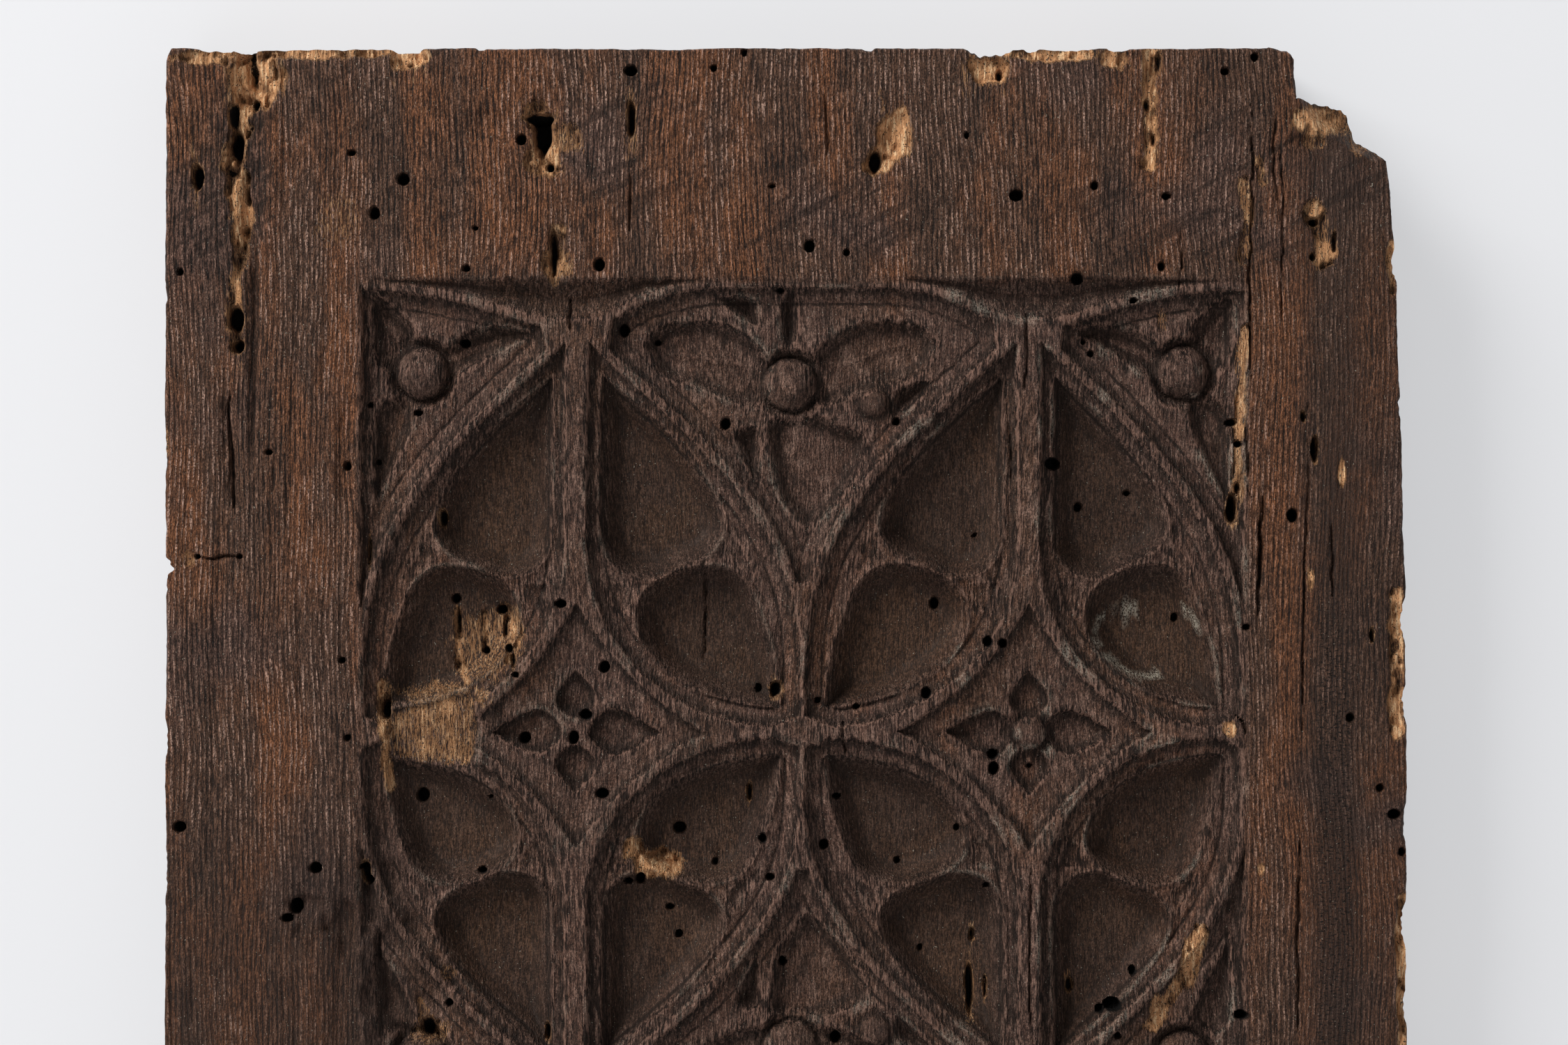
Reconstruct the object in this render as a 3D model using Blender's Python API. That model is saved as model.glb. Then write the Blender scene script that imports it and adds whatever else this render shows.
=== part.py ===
"""Carved oak wall panel with blind Gothic tracery, for Blender 4.5.

One board stands upright in the XZ plane. Its back lies on y = 0, centred on the origin, and its carved
front faces -Y. The carving is a depth below the front face, worked out at every point of a fine grid
from the carver's cuts, and the board is then thinned to the faces that its form needs.
Lengths are in metres.
"""

import math

import bpy
import numpy as np

MM = 0.001

# The board
PANEL_WIDTH = 250 * MM
PANEL_HEIGHT = 268 * MM
THICKNESS = 24 * MM
CORNER_WEAR = 1.5 * MM
EDGE_WAVE = 0.4 * MM
EDGE_ROUNDING = 1.2 * MM

# Plain borders around the sunk field
BORDER_LEFT = 38.8 * MM
BORDER_RIGHT = 32.2 * MM
BORDER_TOP = 46.4 * MM
BORDER_BOTTOM = 46.4 * MM

# Tracery: two pointed ovals side by side, each crossed by a mullion and a transom
MULLION_SPACING = 91.3 * MM
TRANSOM_BELOW_CENTRE = 3.8 * MM
APEX_GAP = 9.6 * MM
OVAL_SIDE_GAP = 0.9 * MM
MULLION_WIDTH = 4.2 * MM
TRANSOM_WIDTH = 2.2 * MM
RIDGE_WIDTH = 1.5 * MM

# Depths of the cuts below the front face, and the widths of their sloping walls
FIELD_DEPTH = 0.5 * MM
FIELD_WALL = 0.9 * MM
CHAMFER_DEPTH = 3.0 * MM
CHAMFER_WALL = 3.1 * MM
LOBE_DEPTH = 9.0 * MM
LOBE_WALL = 5.2 * MM
EYE_DEPTH = 4.2 * MM
EYE_WALL = 1.3 * MM
SPANDREL_DEPTH = 3.2 * MM
SPANDREL_WALL = 3.4 * MM
LUNETTE_DEPTH = 4.4 * MM
LUNETTE_WALL = 4.6 * MM
STAR_DEPTH = 2.8 * MM
STAR_WALL = 2.4 * MM
PETAL_DEPTH = 6.4 * MM
PETAL_WALL = 2.2 * MM

# Balls at the hearts of the flowers
SPANDREL_BALL_RADIUS = 5.4 * MM
CURL_RADIUS = 3.0 * MM
STAR_BALL_RADIUS = 3.4 * MM
BALL_TOP_DEPTH = 1.0 * MM
BALL_MOAT_WIDTH = 2.0 * MM

# The corner that has broken away, top right, and other losses
BREAK_WIDTH = 22.9 * MM
BREAK_HEIGHT = 23.0 * MM
BREAK_FACE_DEPTH = 6.5 * MM
BAR_LOSS_DEPTH = 4.6 * MM
GALLERY_DEPTH = 3.4 * MM
CORNER_EROSION_DEPTH = 1.7 * MM
LOSS_WALL = 1.8 * MM

GRID_STEP = 0.7 * MM
TARGET_TRIANGLES = 9200

# Where things lie, from the driving sizes
LEFT = -PANEL_WIDTH / 2
RIGHT = PANEL_WIDTH / 2
BOTTOM = -PANEL_HEIGHT / 2
TOP = PANEL_HEIGHT / 2
FIELD_LEFT = LEFT + BORDER_LEFT
FIELD_RIGHT = RIGHT - BORDER_RIGHT
FIELD_BOTTOM = BOTTOM + BORDER_BOTTOM
FIELD_TOP = TOP - BORDER_TOP
SPINE_X = (FIELD_LEFT + FIELD_RIGHT) / 2
TRANSOM_Z = (FIELD_BOTTOM + FIELD_TOP) / 2 - TRANSOM_BELOW_CENTRE
HALF_FIELD = (FIELD_RIGHT - FIELD_LEFT) / 2
INNER_HALF = MULLION_SPACING / 2
OUTER_SIDE = HALF_FIELD - INNER_HALF
OUTER_HALF = OUTER_SIDE - OVAL_SIDE_GAP
UPPER_SIDE = FIELD_TOP - TRANSOM_Z
LOWER_SIDE = TRANSOM_Z - FIELD_BOTTOM


def bezier(p0, p1, p2, p3, count):
    """Points along a cubic Bezier curve, both ends included."""
    t = np.linspace(0, 1, count)[:, None]
    corners = [np.array(p, float) for p in (p0, p1, p2, p3)]
    weights = ((1 - t) ** 3, 3 * t * (1 - t) ** 2, 3 * t**2 * (1 - t), t**3)
    return sum(w * p for w, p in zip(weights, corners))


def smooth_leaf(points, per_span=5):
    """A closed outline with one sharp tip at its first point and a smooth curve through the others."""
    points = np.array(points, float)
    knots = np.vstack([points[0], points, points[0], points[0]])
    outline = []
    for a, b, c, d in zip(knots, knots[1:], knots[2:], knots[3:]):
        for t in np.arange(per_span) / per_span:
            outline.append(
                b + 0.5 * t * (c - a)
                + t**2 * (a - 2.5 * b + 2 * c - 0.5 * d)
                + t**3 * (1.5 * (b - c) + 0.5 * (d - a))
            )
    return np.array(outline)


def offset_line(line, distance):
    """A line moved to the left of its own direction by a distance."""
    along = np.gradient(line, axis=0)
    along /= np.linalg.norm(along, axis=1)[:, None]
    return line + distance * np.column_stack([-along[:, 1], along[:, 0]])


def ramp(share):
    """A plain chamfer."""
    return share


def dished(share):
    """A wall that is steep at its rim and eases into the floor."""
    return np.sin(share * math.pi / 2)


class Relief:
    """The front face as a depth below the board's surface at each point."""

    def __init__(self, x, z):
        self.x, self.z = x, z
        self.depth = np.zeros_like(x)

    def within(self, outline):
        """Indexes of the points inside a closed outline, and how far inside each one lies."""
        low, high = outline.min(axis=0), outline.max(axis=0)
        near = (self.x > low[0]) & (self.x < high[0]) & (self.z > low[1]) & (self.z < high[1])
        index = np.flatnonzero(near)
        x, z = self.x[index], self.z[index]
        inside = np.zeros(len(index), bool)
        nearest = np.full(len(index), np.inf)
        for (ax, az), (bx, bz) in zip(outline, np.roll(outline, -1, axis=0)):
            ex, ez = bx - ax, bz - az
            length = ex * ex + ez * ez
            if length == 0:
                continue
            along = np.clip(((x - ax) * ex + (z - az) * ez) / length, 0, 1)
            nearest = np.minimum(nearest, np.hypot(x - ax - along * ex, z - az - along * ez))
            if ez != 0:
                inside ^= ((az > z) != (bz > z)) & (x < ax + (z - az) * ex / ez)
        return index[inside], nearest[inside]

    def sink(self, outline, floor, wall, shape=ramp):
        """Cuts the outline down to a floor depth, with a sloping wall just inside it."""
        index, distance = self.within(np.array(outline, float))
        share = shape(np.clip(distance / wall, 0, 1))
        self.depth[index] += np.maximum(floor - self.depth[index], 0) * share

    def raise_ball(self, centre, radius):
        """Leaves a ball standing in a ring-shaped moat."""
        angles = np.linspace(0, 2 * math.pi, 25)[:-1]
        circle = np.column_stack([np.cos(angles), np.sin(angles)])
        ring = np.array(centre) + (radius + BALL_MOAT_WIDTH) * circle
        self.sink(ring, BALL_TOP_DEPTH + radius, BALL_MOAT_WIDTH)
        away = np.hypot(self.x - centre[0], self.z - centre[1])
        on = away < radius
        top = BALL_TOP_DEPTH + radius - np.sqrt(radius**2 - away[on] ** 2)
        self.depth[on] = np.minimum(self.depth[on], top)


class Quarter:
    """One quarter of a pointed oval, drawn outwards from the crossing of its mullion and transom.

    side is -1 or 1 for left or right of the mullion and rise -1 or 1 for below or above the transom.
    half and height are the quarter's reach along each, and points are given in shares of them.
    """

    def __init__(self, mullion_x, side, rise):
        self.mullion_x, self.side, self.rise = mullion_x, side, rise
        self.outer = (mullion_x < SPINE_X) == (side < 0)
        self.half = OUTER_HALF if self.outer else INNER_HALF
        self.reach = OUTER_SIDE if self.outer else INNER_HALF
        self.top = UPPER_SIDE if rise > 0 else LOWER_SIDE
        self.height = self.top - APEX_GAP

    def place(self, points):
        """Local lengths turned into panel coordinates."""
        points = np.array(points, float)
        x = self.mullion_x + self.side * points[:, 0]
        return np.column_stack([x, TRANSOM_Z + self.rise * points[:, 1]])

    def shares(self, points):
        """Shares of the quarter's half width and height turned into local lengths."""
        return np.array(points, float) * (self.half, self.height)

    def ridge(self, count=24):
        """The crest of the arch, from the apex down to the end of the transom."""
        return self.shares(bezier((0, 1), (0.76, 0.626), (1.08, 0.466), (1, 0), count))

    def lights(self):
        """The chamfered area between arch, mullion and star that holds the two lobes."""
        arch = offset_line(self.ridge(), -RIDGE_WIDTH / 2)
        jamb = MULLION_WIDTH / 2
        sill = TRANSOM_WIDTH / 2
        arch = arch[(arch[:, 0] > jamb) & (arch[:, 1] > sill)]
        centre = self.shares([(0.88, 0.466)])[0]
        angles = np.linspace(math.pi, 1.5 * math.pi, 14)
        reach = centre - (jamb, sill)
        star_side = centre + reach * np.column_stack([np.cos(angles), np.sin(angles)])
        return self.place(np.vstack([arch[::-1], star_side]))

    def lobes(self):
        """Outlines of the two foils, the upper one along the mullion and the lower one over the transom."""
        upper = ((0.11, 0.885), (0.39, 0.755), (0.61, 0.600), (0.665, 0.505), (0.59, 0.437), (0.46, 0.408),
                 (0.355, 0.378), (0.205, 0.392), (0.118, 0.46), (0.105, 0.62))
        lower = ((0.905, 0.058), (0.885, 0.17), (0.835, 0.27), (0.765, 0.365), (0.655, 0.410), (0.515, 0.410),
                 (0.365, 0.380), (0.275, 0.325), (0.27, 0.25), (0.36, 0.17), (0.52, 0.107), (0.715, 0.073))
        return [self.place(self.shares(smooth_leaf(points))) for points in (upper, lower)]

    def eyes(self):
        """The small three-cornered sinkings between the lobes and the mouldings."""
        by_mullion = ((0.13, 0.37), (0.27, 0.365), (0.235, 0.30), (0.17, 0.29))
        by_arch = ((0.69, 0.495), (0.80, 0.385), (0.72, 0.405), (0.655, 0.435))
        return [self.place(self.shares(points)) for points in (by_mullion, by_arch)]

    def star_recess(self):
        """A quarter of the four-pointed hollow around the mullion and transom crossing."""
        return self.place(self.shares(bezier((0, 0.32), (0.147, 0.185), (0.33, 0.078), (0.58, 0), 9)))

    def apex_curve(self, drop=0.0):
        """The ogee crest from the apex out to the field's top edge, lowered by drop."""
        reach = self.reach if self.outer else 0.62 * self.half
        gap = self.top - self.height
        low = self.height + 0.12 * gap - drop
        high = self.top - 0.04 * gap - drop
        return bezier((0, low), (0.30 * reach, low), (0.38 * reach, high - 0.2 * gap), (reach, high), 12)

    def spandrel_edge(self):
        """The side of a spandrel that this quarter bounds, from the field's top edge to the foot."""
        crest = self.apex_curve(drop=RIDGE_WIDTH)
        arch = offset_line(self.ridge(), RIDGE_WIDTH / 2)
        arch = arch[(arch[:, 0] < self.reach - RIDGE_WIDTH / 2) & (arch[:, 0] > 0.09 * self.half)]
        crest = crest[crest[:, 0] > 0.13 * self.half]
        upright = self.height * 0.2
        return np.vstack([crest[::-1], arch[: np.argmax(arch[:, 1] < upright) or len(arch)]])

    def corner_spandrel(self):
        """The sunk corner outside an outer quarter."""
        edge = self.spandrel_edge()
        inset = self.reach - RIDGE_WIDTH / 2
        edge = edge[edge[:, 0] < inset]
        return self.place(np.vstack([edge, [(inset, edge[-1, 1]), (inset, edge[0, 1])]]))

    def corner_flower(self):
        """The heart of a corner's flower and its three petals."""
        heart = self.shares([(0.725, 0.885)])[0]
        to_corner = ((0.72, 0.93), (0.77, 1.01), (0.93, 1.075), (0.965, 1.0), (0.93, 0.90), (0.82, 0.885))
        to_apex = ((0.20, 0.985), (0.35, 1.005), (0.52, 0.985), (0.65, 0.93), (0.60, 0.865), (0.40, 0.925))
        down = ((0.94, 0.56), (0.955, 0.68), (0.93, 0.80), (0.80, 0.835), (0.74, 0.80), (0.80, 0.70))
        petals = [self.place(self.shares(smooth_leaf(points))) for points in (to_corner, to_apex, down)]
        return self.place([heart])[0], petals


def lunette(left, right):
    """The hollow over one apex, between the field's edge and the two ogee crests."""
    crest = np.vstack([left.place(left.apex_curve())[::-1], right.place(right.apex_curve())[1:]])
    edge = TRANSOM_Z + left.rise * left.top
    return np.vstack([crest, [(crest[-1, 0], edge), (crest[0, 0], edge)]])


def middle_spandrel(left, right):
    """The sunk triangle between the two ovals, from the inner quarters on either side of the spine."""
    return np.vstack([left.place(left.spandrel_edge()), right.place(right.spandrel_edge())[::-1]])


def middle_flower(quarter):
    """The flower between the ovals, in shares of the quarter beside it: heart, curled leaf tip and petals."""
    size = np.array((quarter.half, quarter.rise * quarter.height))

    def place(points):
        return np.array((SPINE_X, TRANSOM_Z)) + size * np.array(points, float)

    left = ((-0.71, 0.955), (-0.60, 1.005), (-0.37, 1.01), (-0.20, 0.965), (-0.13, 0.90),
            (-0.19, 0.80), (-0.44, 0.845), (-0.63, 0.88))
    right = [(-0.10 - x, z) for x, z in left]
    shield = ((0.02, 0.49), (-0.11, 0.585), (-0.14, 0.69), (-0.145, 0.765), (0.0, 0.79), (0.16, 0.765),
              (0.29, 0.725), (0.24, 0.63), (0.14, 0.555))
    above = ((-0.03, 1.09), (-0.09, 1.07), (-0.10, 0.99), (-0.06, 0.94), (-0.01, 0.99))
    above_left = ((-0.38, 1.07), (-0.28, 1.075), (-0.20, 1.06), (-0.19, 1.0), (-0.28, 1.02))
    leaflet = ((-0.205, 0.61), (-0.30, 0.72), (-0.25, 0.755), (-0.185, 0.745), (-0.18, 0.67))
    side_hollow = ((0.395, 0.765), (0.40, 0.83), (0.47, 0.857), (0.57, 0.86), (0.50, 0.805))
    outlines = (left, right, shield, above, above_left, leaflet, side_hollow)
    heart, curl = place([(-0.05, 0.856), (0.32, 0.81)])
    return heart, curl, [place(smooth_leaf(points)) for points in outlines]


def star_petals(mullion_x):
    """Four leaf-shaped hollows around the heart of a star, in shares of the ball's radius."""
    long = ((5.0, 0), (3.3, 0.85), (1.9, 1.1), (0.75, 0), (1.9, -1.1), (3.3, -0.85))
    short = ((0, 3.7), (0.85, 2.5), (0.95, 1.5), (0, 0.75), (-0.95, 1.5), (-0.85, 2.5))
    centre = np.array((mullion_x, TRANSOM_Z))
    outlines = []
    for points in (long, short):
        petal = smooth_leaf(points) * STAR_BALL_RADIUS
        outlines += [centre + petal, centre - petal]
    return outlines


def carve(relief):
    """All of the carver's cuts, from the widest to the finest."""
    low, high = (FIELD_LEFT, FIELD_BOTTOM), (FIELD_RIGHT, FIELD_TOP)
    field = (low, (high[0], low[1]), high, (low[0], high[1]))
    relief.sink(field, FIELD_DEPTH, FIELD_WALL)
    mullions = (SPINE_X - MULLION_SPACING / 2, SPINE_X + MULLION_SPACING / 2)
    for rise in (1, -1):
        pairs = [[Quarter(x, side, rise) for side in (-1, 1)] for x in mullions]
        for left, right in pairs:
            relief.sink(lunette(left, right), LUNETTE_DEPTH, LUNETTE_WALL, dished)
        inner_left, inner_right = pairs[0][1], pairs[1][0]
        relief.sink(middle_spandrel(inner_left, inner_right), SPANDREL_DEPTH, SPANDREL_WALL)
        heart, curl, petals = middle_flower(inner_left)
        for petal in petals:
            relief.sink(petal, PETAL_DEPTH, PETAL_WALL, dished)
        relief.raise_ball(curl, CURL_RADIUS)
        relief.raise_ball(heart, SPANDREL_BALL_RADIUS)
        for outer in (pairs[0][0], pairs[1][1]):
            relief.sink(outer.corner_spandrel(), SPANDREL_DEPTH, SPANDREL_WALL)
            heart, petals = outer.corner_flower()
            for petal in petals:
                relief.sink(petal, PETAL_DEPTH, PETAL_WALL, dished)
            relief.raise_ball(heart, SPANDREL_BALL_RADIUS)
        for quarter in (q for pair in pairs for q in pair):
            relief.sink(quarter.lights(), CHAMFER_DEPTH, CHAMFER_WALL)
            for eye in quarter.eyes():
                relief.sink(eye, EYE_DEPTH, EYE_WALL)
            for lobe in quarter.lobes():
                relief.sink(lobe, LOBE_DEPTH, LOBE_WALL, dished)
    for x in mullions:
        arms = [Quarter(x, side, rise).star_recess() for side, rise in ((1, 1), (1, -1), (-1, -1), (-1, 1))]
        star = np.vstack([arms[0], arms[1][::-1], arms[2], arms[3][::-1]])
        relief.sink(star, STAR_DEPTH, STAR_WALL)
        for petal in star_petals(x):
            relief.sink(petal, PETAL_DEPTH * 0.8, PETAL_WALL, dished)
    relief.raise_ball((mullions[1], TRANSOM_Z), STAR_BALL_RADIUS)


def wear(relief):
    """The losses that change the form: a broken corner, a lost bar, a beetle gallery and an eroded corner."""
    ledge = ((-1.02, 0.05), (-1.02, -0.38), (-0.80, -0.72), (-0.55, -0.86), (-0.30, -1.02), (-0.10, -0.93),
             (0.1, 0.05))
    corner = [(RIGHT + x * BREAK_WIDTH, TOP + z * BREAK_HEIGHT) for x, z in ledge]
    relief.sink(corner, BREAK_FACE_DEPTH, LOSS_WALL * 2)

    quarter = Quarter(SPINE_X - MULLION_SPACING / 2, -1, 1)
    bar = ((0.44, 0.02), (0.50, 0.105), (0.70, 0.085), (0.87, 0.05), (0.87, -0.07), (0.66, -0.085),
           (0.47, -0.08))
    relief.sink(quarter.place(quarter.shares(smooth_leaf(bar))), BAR_LOSS_DEPTH, LOSS_WALL)

    gallery = ((0.47, -0.98), (0.42, -0.72), (0.42, -0.48), (0.37, -0.34), (0.40, -0.18), (0.47, -0.03),
               (0.56, -0.20), (0.53, -0.45), (0.51, -0.70))
    track = smooth_leaf(gallery) * (BORDER_LEFT, BORDER_TOP * 2) + (LEFT, TOP)
    relief.sink(track, GALLERY_DEPTH, LOSS_WALL)

    eroded = ((0.92, -0.22), (1.12, -0.50), (1.38, -0.82), (1.42, -1.04), (1.12, -1.06), (0.82, -0.95),
              (0.76, -0.70), (0.84, -0.45))
    patch = smooth_leaf(eroded) * (BORDER_LEFT, LOWER_SIDE) + (LEFT, TRANSOM_Z)
    relief.sink(patch, CORNER_EROSION_DEPTH, LOSS_WALL * 4)


def waved(share):
    """How far a worn edge falls back from its straight line, at a share of its length."""
    return EDGE_WAVE * (0.5 - 0.5 * np.cos(share * 6 * math.pi))


def top_edge():
    """The board's top edge, from its worn left corner to the end of the broken right one."""
    steps = ((-1.23, 0), (-1.07, -0.04), (-1.0, -0.10), (-0.995, -0.44), (-0.83, -0.48), (-0.62, -0.50),
             (-0.51, -0.56), (-0.43, -0.83), (-0.28, -0.91), (-0.19, -1.0))
    broken = [(RIGHT + x * BREAK_WIDTH, TOP + z * BREAK_HEIGHT) for x, z in steps]
    share = np.linspace(0, 1, 40)[:-1]
    start = LEFT + CORNER_WEAR
    sound = np.column_stack([start + share * (broken[0][0] - start), TOP - waved(share)])
    return np.vstack([sound, broken])


def left_edge(high):
    """The left edge up to a height, rounded off into the worn corner."""
    share = np.linspace(0, 1, 60)
    corner = CORNER_WEAR * np.clip((share - 0.98) / 0.02, 0, 1) ** 2
    return np.column_stack([LEFT + waved(share) + corner, BOTTOM + (high - BOTTOM) * share])


def right_edge(low, high):
    """The right edge, worn back more and more towards the broken corner from low at its foot to high."""
    share = np.linspace(0, 1, 60)
    worn = np.interp(share, (0, 0.62, 0.915, 0.983, 1), (0, 0, 0.51, 0.77, 1))
    return np.column_stack([RIGHT - (RIGHT - high[0]) * worn, low + (high[1] - low) * share])


def along(line, count):
    """Points at equal steps along a line."""
    reached = np.concatenate([[0], np.cumsum(np.hypot(*np.diff(line, axis=0).T))])
    stops = np.linspace(0, reached[-1], count)
    return np.column_stack([np.interp(stops, reached, line[:, 0]), np.interp(stops, reached, line[:, 1])])


def panel_grid():
    """A grid of points that fills the board's worn outline, as x and z arrays of one row for each column."""
    columns = round(PANEL_WIDTH / GRID_STEP)
    rows = round(PANEL_HEIGHT / GRID_STEP)
    top = along(top_edge(), columns)
    left = along(left_edge(top[0, 1]), rows)
    right = along(right_edge(BOTTOM, top[-1]), rows)
    bottom = np.column_stack([np.linspace(left[0, 0], right[0, 0], columns), np.full(columns, BOTTOM)])
    u = np.linspace(0, 1, columns)[:, None, None]
    v = np.linspace(0, 1, rows)[None, :, None]
    across = (1 - u) * left[None] + u * right[None]
    upwards = (1 - v) * bottom[:, None] + v * top[:, None]
    lower_corners = (1 - u) * bottom[0] + u * bottom[-1]
    upper_corners = (1 - u) * top[0] + u * top[-1]
    grid = across + upwards - (1 - v) * lower_corners - v * upper_corners
    return grid[..., 0], grid[..., 1]


def edge_wear(relief, shape):
    """The sharp arris around the board rubbed down, deepest at the very edge."""
    column = np.arange(shape[0])[:, None]
    row = np.arange(shape[1])[None, :]
    across = np.minimum(column, shape[0] - 1 - column)
    upwards = np.minimum(row, shape[1] - 1 - row)
    inwards = np.minimum(across, upwards) * GRID_STEP
    rubbed = EDGE_ROUNDING * (1 - np.clip(inwards / EDGE_ROUNDING, 0, 1)) ** 2
    relief.depth = np.maximum(relief.depth, rubbed.ravel())


def board_mesh():
    """The closed board: carved front, flat back, and sides that join them."""
    x, z = panel_grid()
    relief = Relief(x.ravel(), z.ravel())
    carve(relief)
    wear(relief)
    edge_wear(relief, x.shape)
    front = np.column_stack([relief.x, -(THICKNESS - relief.depth), relief.z])
    back = np.column_stack([relief.x, np.zeros_like(relief.x), relief.z])
    index = np.arange(x.size).reshape(x.shape)
    quads = np.stack([index[:-1, :-1], index[1:, :-1], index[1:, 1:], index[:-1, 1:]], axis=-1).reshape(-1, 4)
    rim = np.concatenate([index[:, 0], index[-1, 1:], index[-2::-1, -1], index[0, -2:0:-1]])
    following = np.roll(rim, -1)
    sides = np.column_stack([rim + x.size, following + x.size, following, rim])
    faces = np.vstack([quads, quads[:, ::-1] + x.size, sides])
    mesh = bpy.data.meshes.new("carved_panel")
    mesh.from_pydata(np.vstack([front, back]).tolist(), [], faces.tolist())
    return mesh


def aged_oak():
    """Dark, dry, unpolished oak."""
    material = bpy.data.materials.new("aged_oak")
    material.use_nodes = True
    shader = material.node_tree.nodes["Principled BSDF"]
    shader.inputs["Base Color"].default_value = (0.082, 0.048, 0.032, 1)
    shader.inputs["Roughness"].default_value = 0.62
    shader.inputs["Metallic"].default_value = 0.0
    return material


def main():
    for old in list(bpy.data.objects):
        bpy.data.objects.remove(old)
    mesh = board_mesh()
    panel = bpy.data.objects.new("carved_panel", mesh)
    bpy.context.scene.collection.objects.link(panel)
    mesh.materials.append(aged_oak())
    thinned = panel.modifiers.new("thinned", "DECIMATE")
    thinned.decimate_type = "COLLAPSE"
    thinned.use_collapse_triangulate = True
    thinned.ratio = TARGET_TRIANGLES / (2 * len(mesh.polygons))


main()
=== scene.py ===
"""The looks of the carved oak panel: old, dark, worm-eaten wood with Gothic tracery, hung on a pale wall.

The board is one mesh, cut as the carver cut it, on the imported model's own box. A raster of depths below
the front face takes the tracery first, then the wear, then the beetles' holes, the chips and the cracks.
Lengths are in metres.
"""

import math

import bpy
import numpy as np
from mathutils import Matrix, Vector


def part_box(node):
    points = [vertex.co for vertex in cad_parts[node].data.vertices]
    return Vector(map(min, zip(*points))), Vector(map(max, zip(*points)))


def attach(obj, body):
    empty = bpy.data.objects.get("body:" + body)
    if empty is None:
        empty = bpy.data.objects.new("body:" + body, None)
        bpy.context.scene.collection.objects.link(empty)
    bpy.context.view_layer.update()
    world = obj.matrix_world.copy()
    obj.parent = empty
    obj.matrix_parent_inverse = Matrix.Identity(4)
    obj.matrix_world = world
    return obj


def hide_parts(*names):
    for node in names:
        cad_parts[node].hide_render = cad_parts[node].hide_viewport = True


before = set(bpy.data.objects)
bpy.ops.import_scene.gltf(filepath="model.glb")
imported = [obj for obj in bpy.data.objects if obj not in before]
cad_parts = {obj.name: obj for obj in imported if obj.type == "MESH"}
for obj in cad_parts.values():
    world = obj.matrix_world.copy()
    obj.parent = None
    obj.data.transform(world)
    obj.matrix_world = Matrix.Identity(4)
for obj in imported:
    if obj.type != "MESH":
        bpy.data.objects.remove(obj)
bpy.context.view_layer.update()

MM = 0.001

# The board's box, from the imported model
BOARD_LOW, BOARD_HIGH = (np.array(corner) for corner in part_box("carved_panel"))
LEFT, BOTTOM = BOARD_LOW[0], BOARD_LOW[2]
RIGHT, TOP = BOARD_HIGH[0], BOARD_HIGH[2]
THICKNESS = BOARD_HIGH[1] - BOARD_LOW[1]
EDGE_ROUNDING = 1.0 * MM
CORNER_WEAR = 1.5 * MM

# Plain borders around the sunk field
BORDER_LEFT = 38.8 * MM
BORDER_RIGHT = 32.2 * MM
BORDER_TOP = 46.4 * MM
BORDER_BOTTOM = 46.4 * MM

# Tracery
MULLION_SPACING = 91.3 * MM
TRANSOM_BELOW_CENTRE = 3.8 * MM
APEX_GAP = 9.6 * MM
OVAL_SIDE_GAP = 0.9 * MM
MULLION_WIDTH = 4.2 * MM
TRANSOM_WIDTH = 2.2 * MM
RIDGE_WIDTH = 1.5 * MM

# Depths of the cuts and the widths of their sloping walls
FIELD_DEPTH = 0.5 * MM
FIELD_WALL = 0.9 * MM
CHAMFER_DEPTH = 3.4 * MM
CHAMFER_WALL = 3.5 * MM
LOBE_DEPTH = 9.0 * MM
LOBE_WALL = 4.6 * MM
EYE_DEPTH = 4.2 * MM
EYE_WALL = 1.3 * MM
SPANDREL_DEPTH = 3.2 * MM
SPANDREL_WALL = 3.4 * MM
LUNETTE_DEPTH = 4.4 * MM
LUNETTE_WALL = 4.6 * MM
STAR_DEPTH = 2.8 * MM
STAR_WALL = 2.4 * MM
PETAL_DEPTH = 6.4 * MM
PETAL_WALL = 2.6 * MM
STAR_PETAL_DEPTH = 0.85 * PETAL_DEPTH
SCORE_WIDTH = 1.0 * MM
SCORE_DEPTH = 0.5 * MM
MARK_REACH = 1.3 * MM
LOBE_RIM_SHARE = 0.8
BEAD_WIDTH = 0.8 * MM
BEAD_HEIGHT = 0.7 * MM
VEIN_WIDTH = 0.9 * MM
VEIN_HEIGHT = 0.8 * MM

# How the carver's hand wavers, and how age has worn the cuts
WAVER = 0.28 * MM
FINE_WAVER = 0.1 * MM
TEETH_LENGTH = 0.42 * MM
CREST_LOSS = 0.5 * MM
GOUGE_DEPTH = 0.22 * MM
FLOOR_MARK_DEPTH = 0.16 * MM
GRAIN_HEIGHT = 0.07 * MM
GROOVE_DEPTH = 0.28 * MM
BORDER_WEAR = 0.3 * MM
GRAIN_SWAY = 2.2 * MM

# Balls at the hearts of the flowers
SPANDREL_BALL_RADIUS = 5.4 * MM
CURL_RADIUS = 3.0 * MM
STAR_BALL_RADIUS = 3.4 * MM
BALL_TOP_DEPTH = 1.0 * MM
BALL_MOAT_WIDTH = 2.0 * MM

# The broken corner and other large losses
BREAK_WIDTH = 22.9 * MM
BREAK_HEIGHT = 23.0 * MM
BREAK_FACE_DEPTH = 6.5 * MM
BAR_LOSS_DEPTH = 4.6 * MM
GALLERY_DEPTH = 1.7 * MM
CORNER_EROSION_DEPTH = 1.7 * MM
LOSS_WALL = 1.8 * MM

# The photograph's scale, which places what has no rule of its own
PIXEL = 0.14 * MM
CENTRE_PIXEL = (1128, 1025)
PHOTO_SIZE = (2250, 1500)

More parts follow.
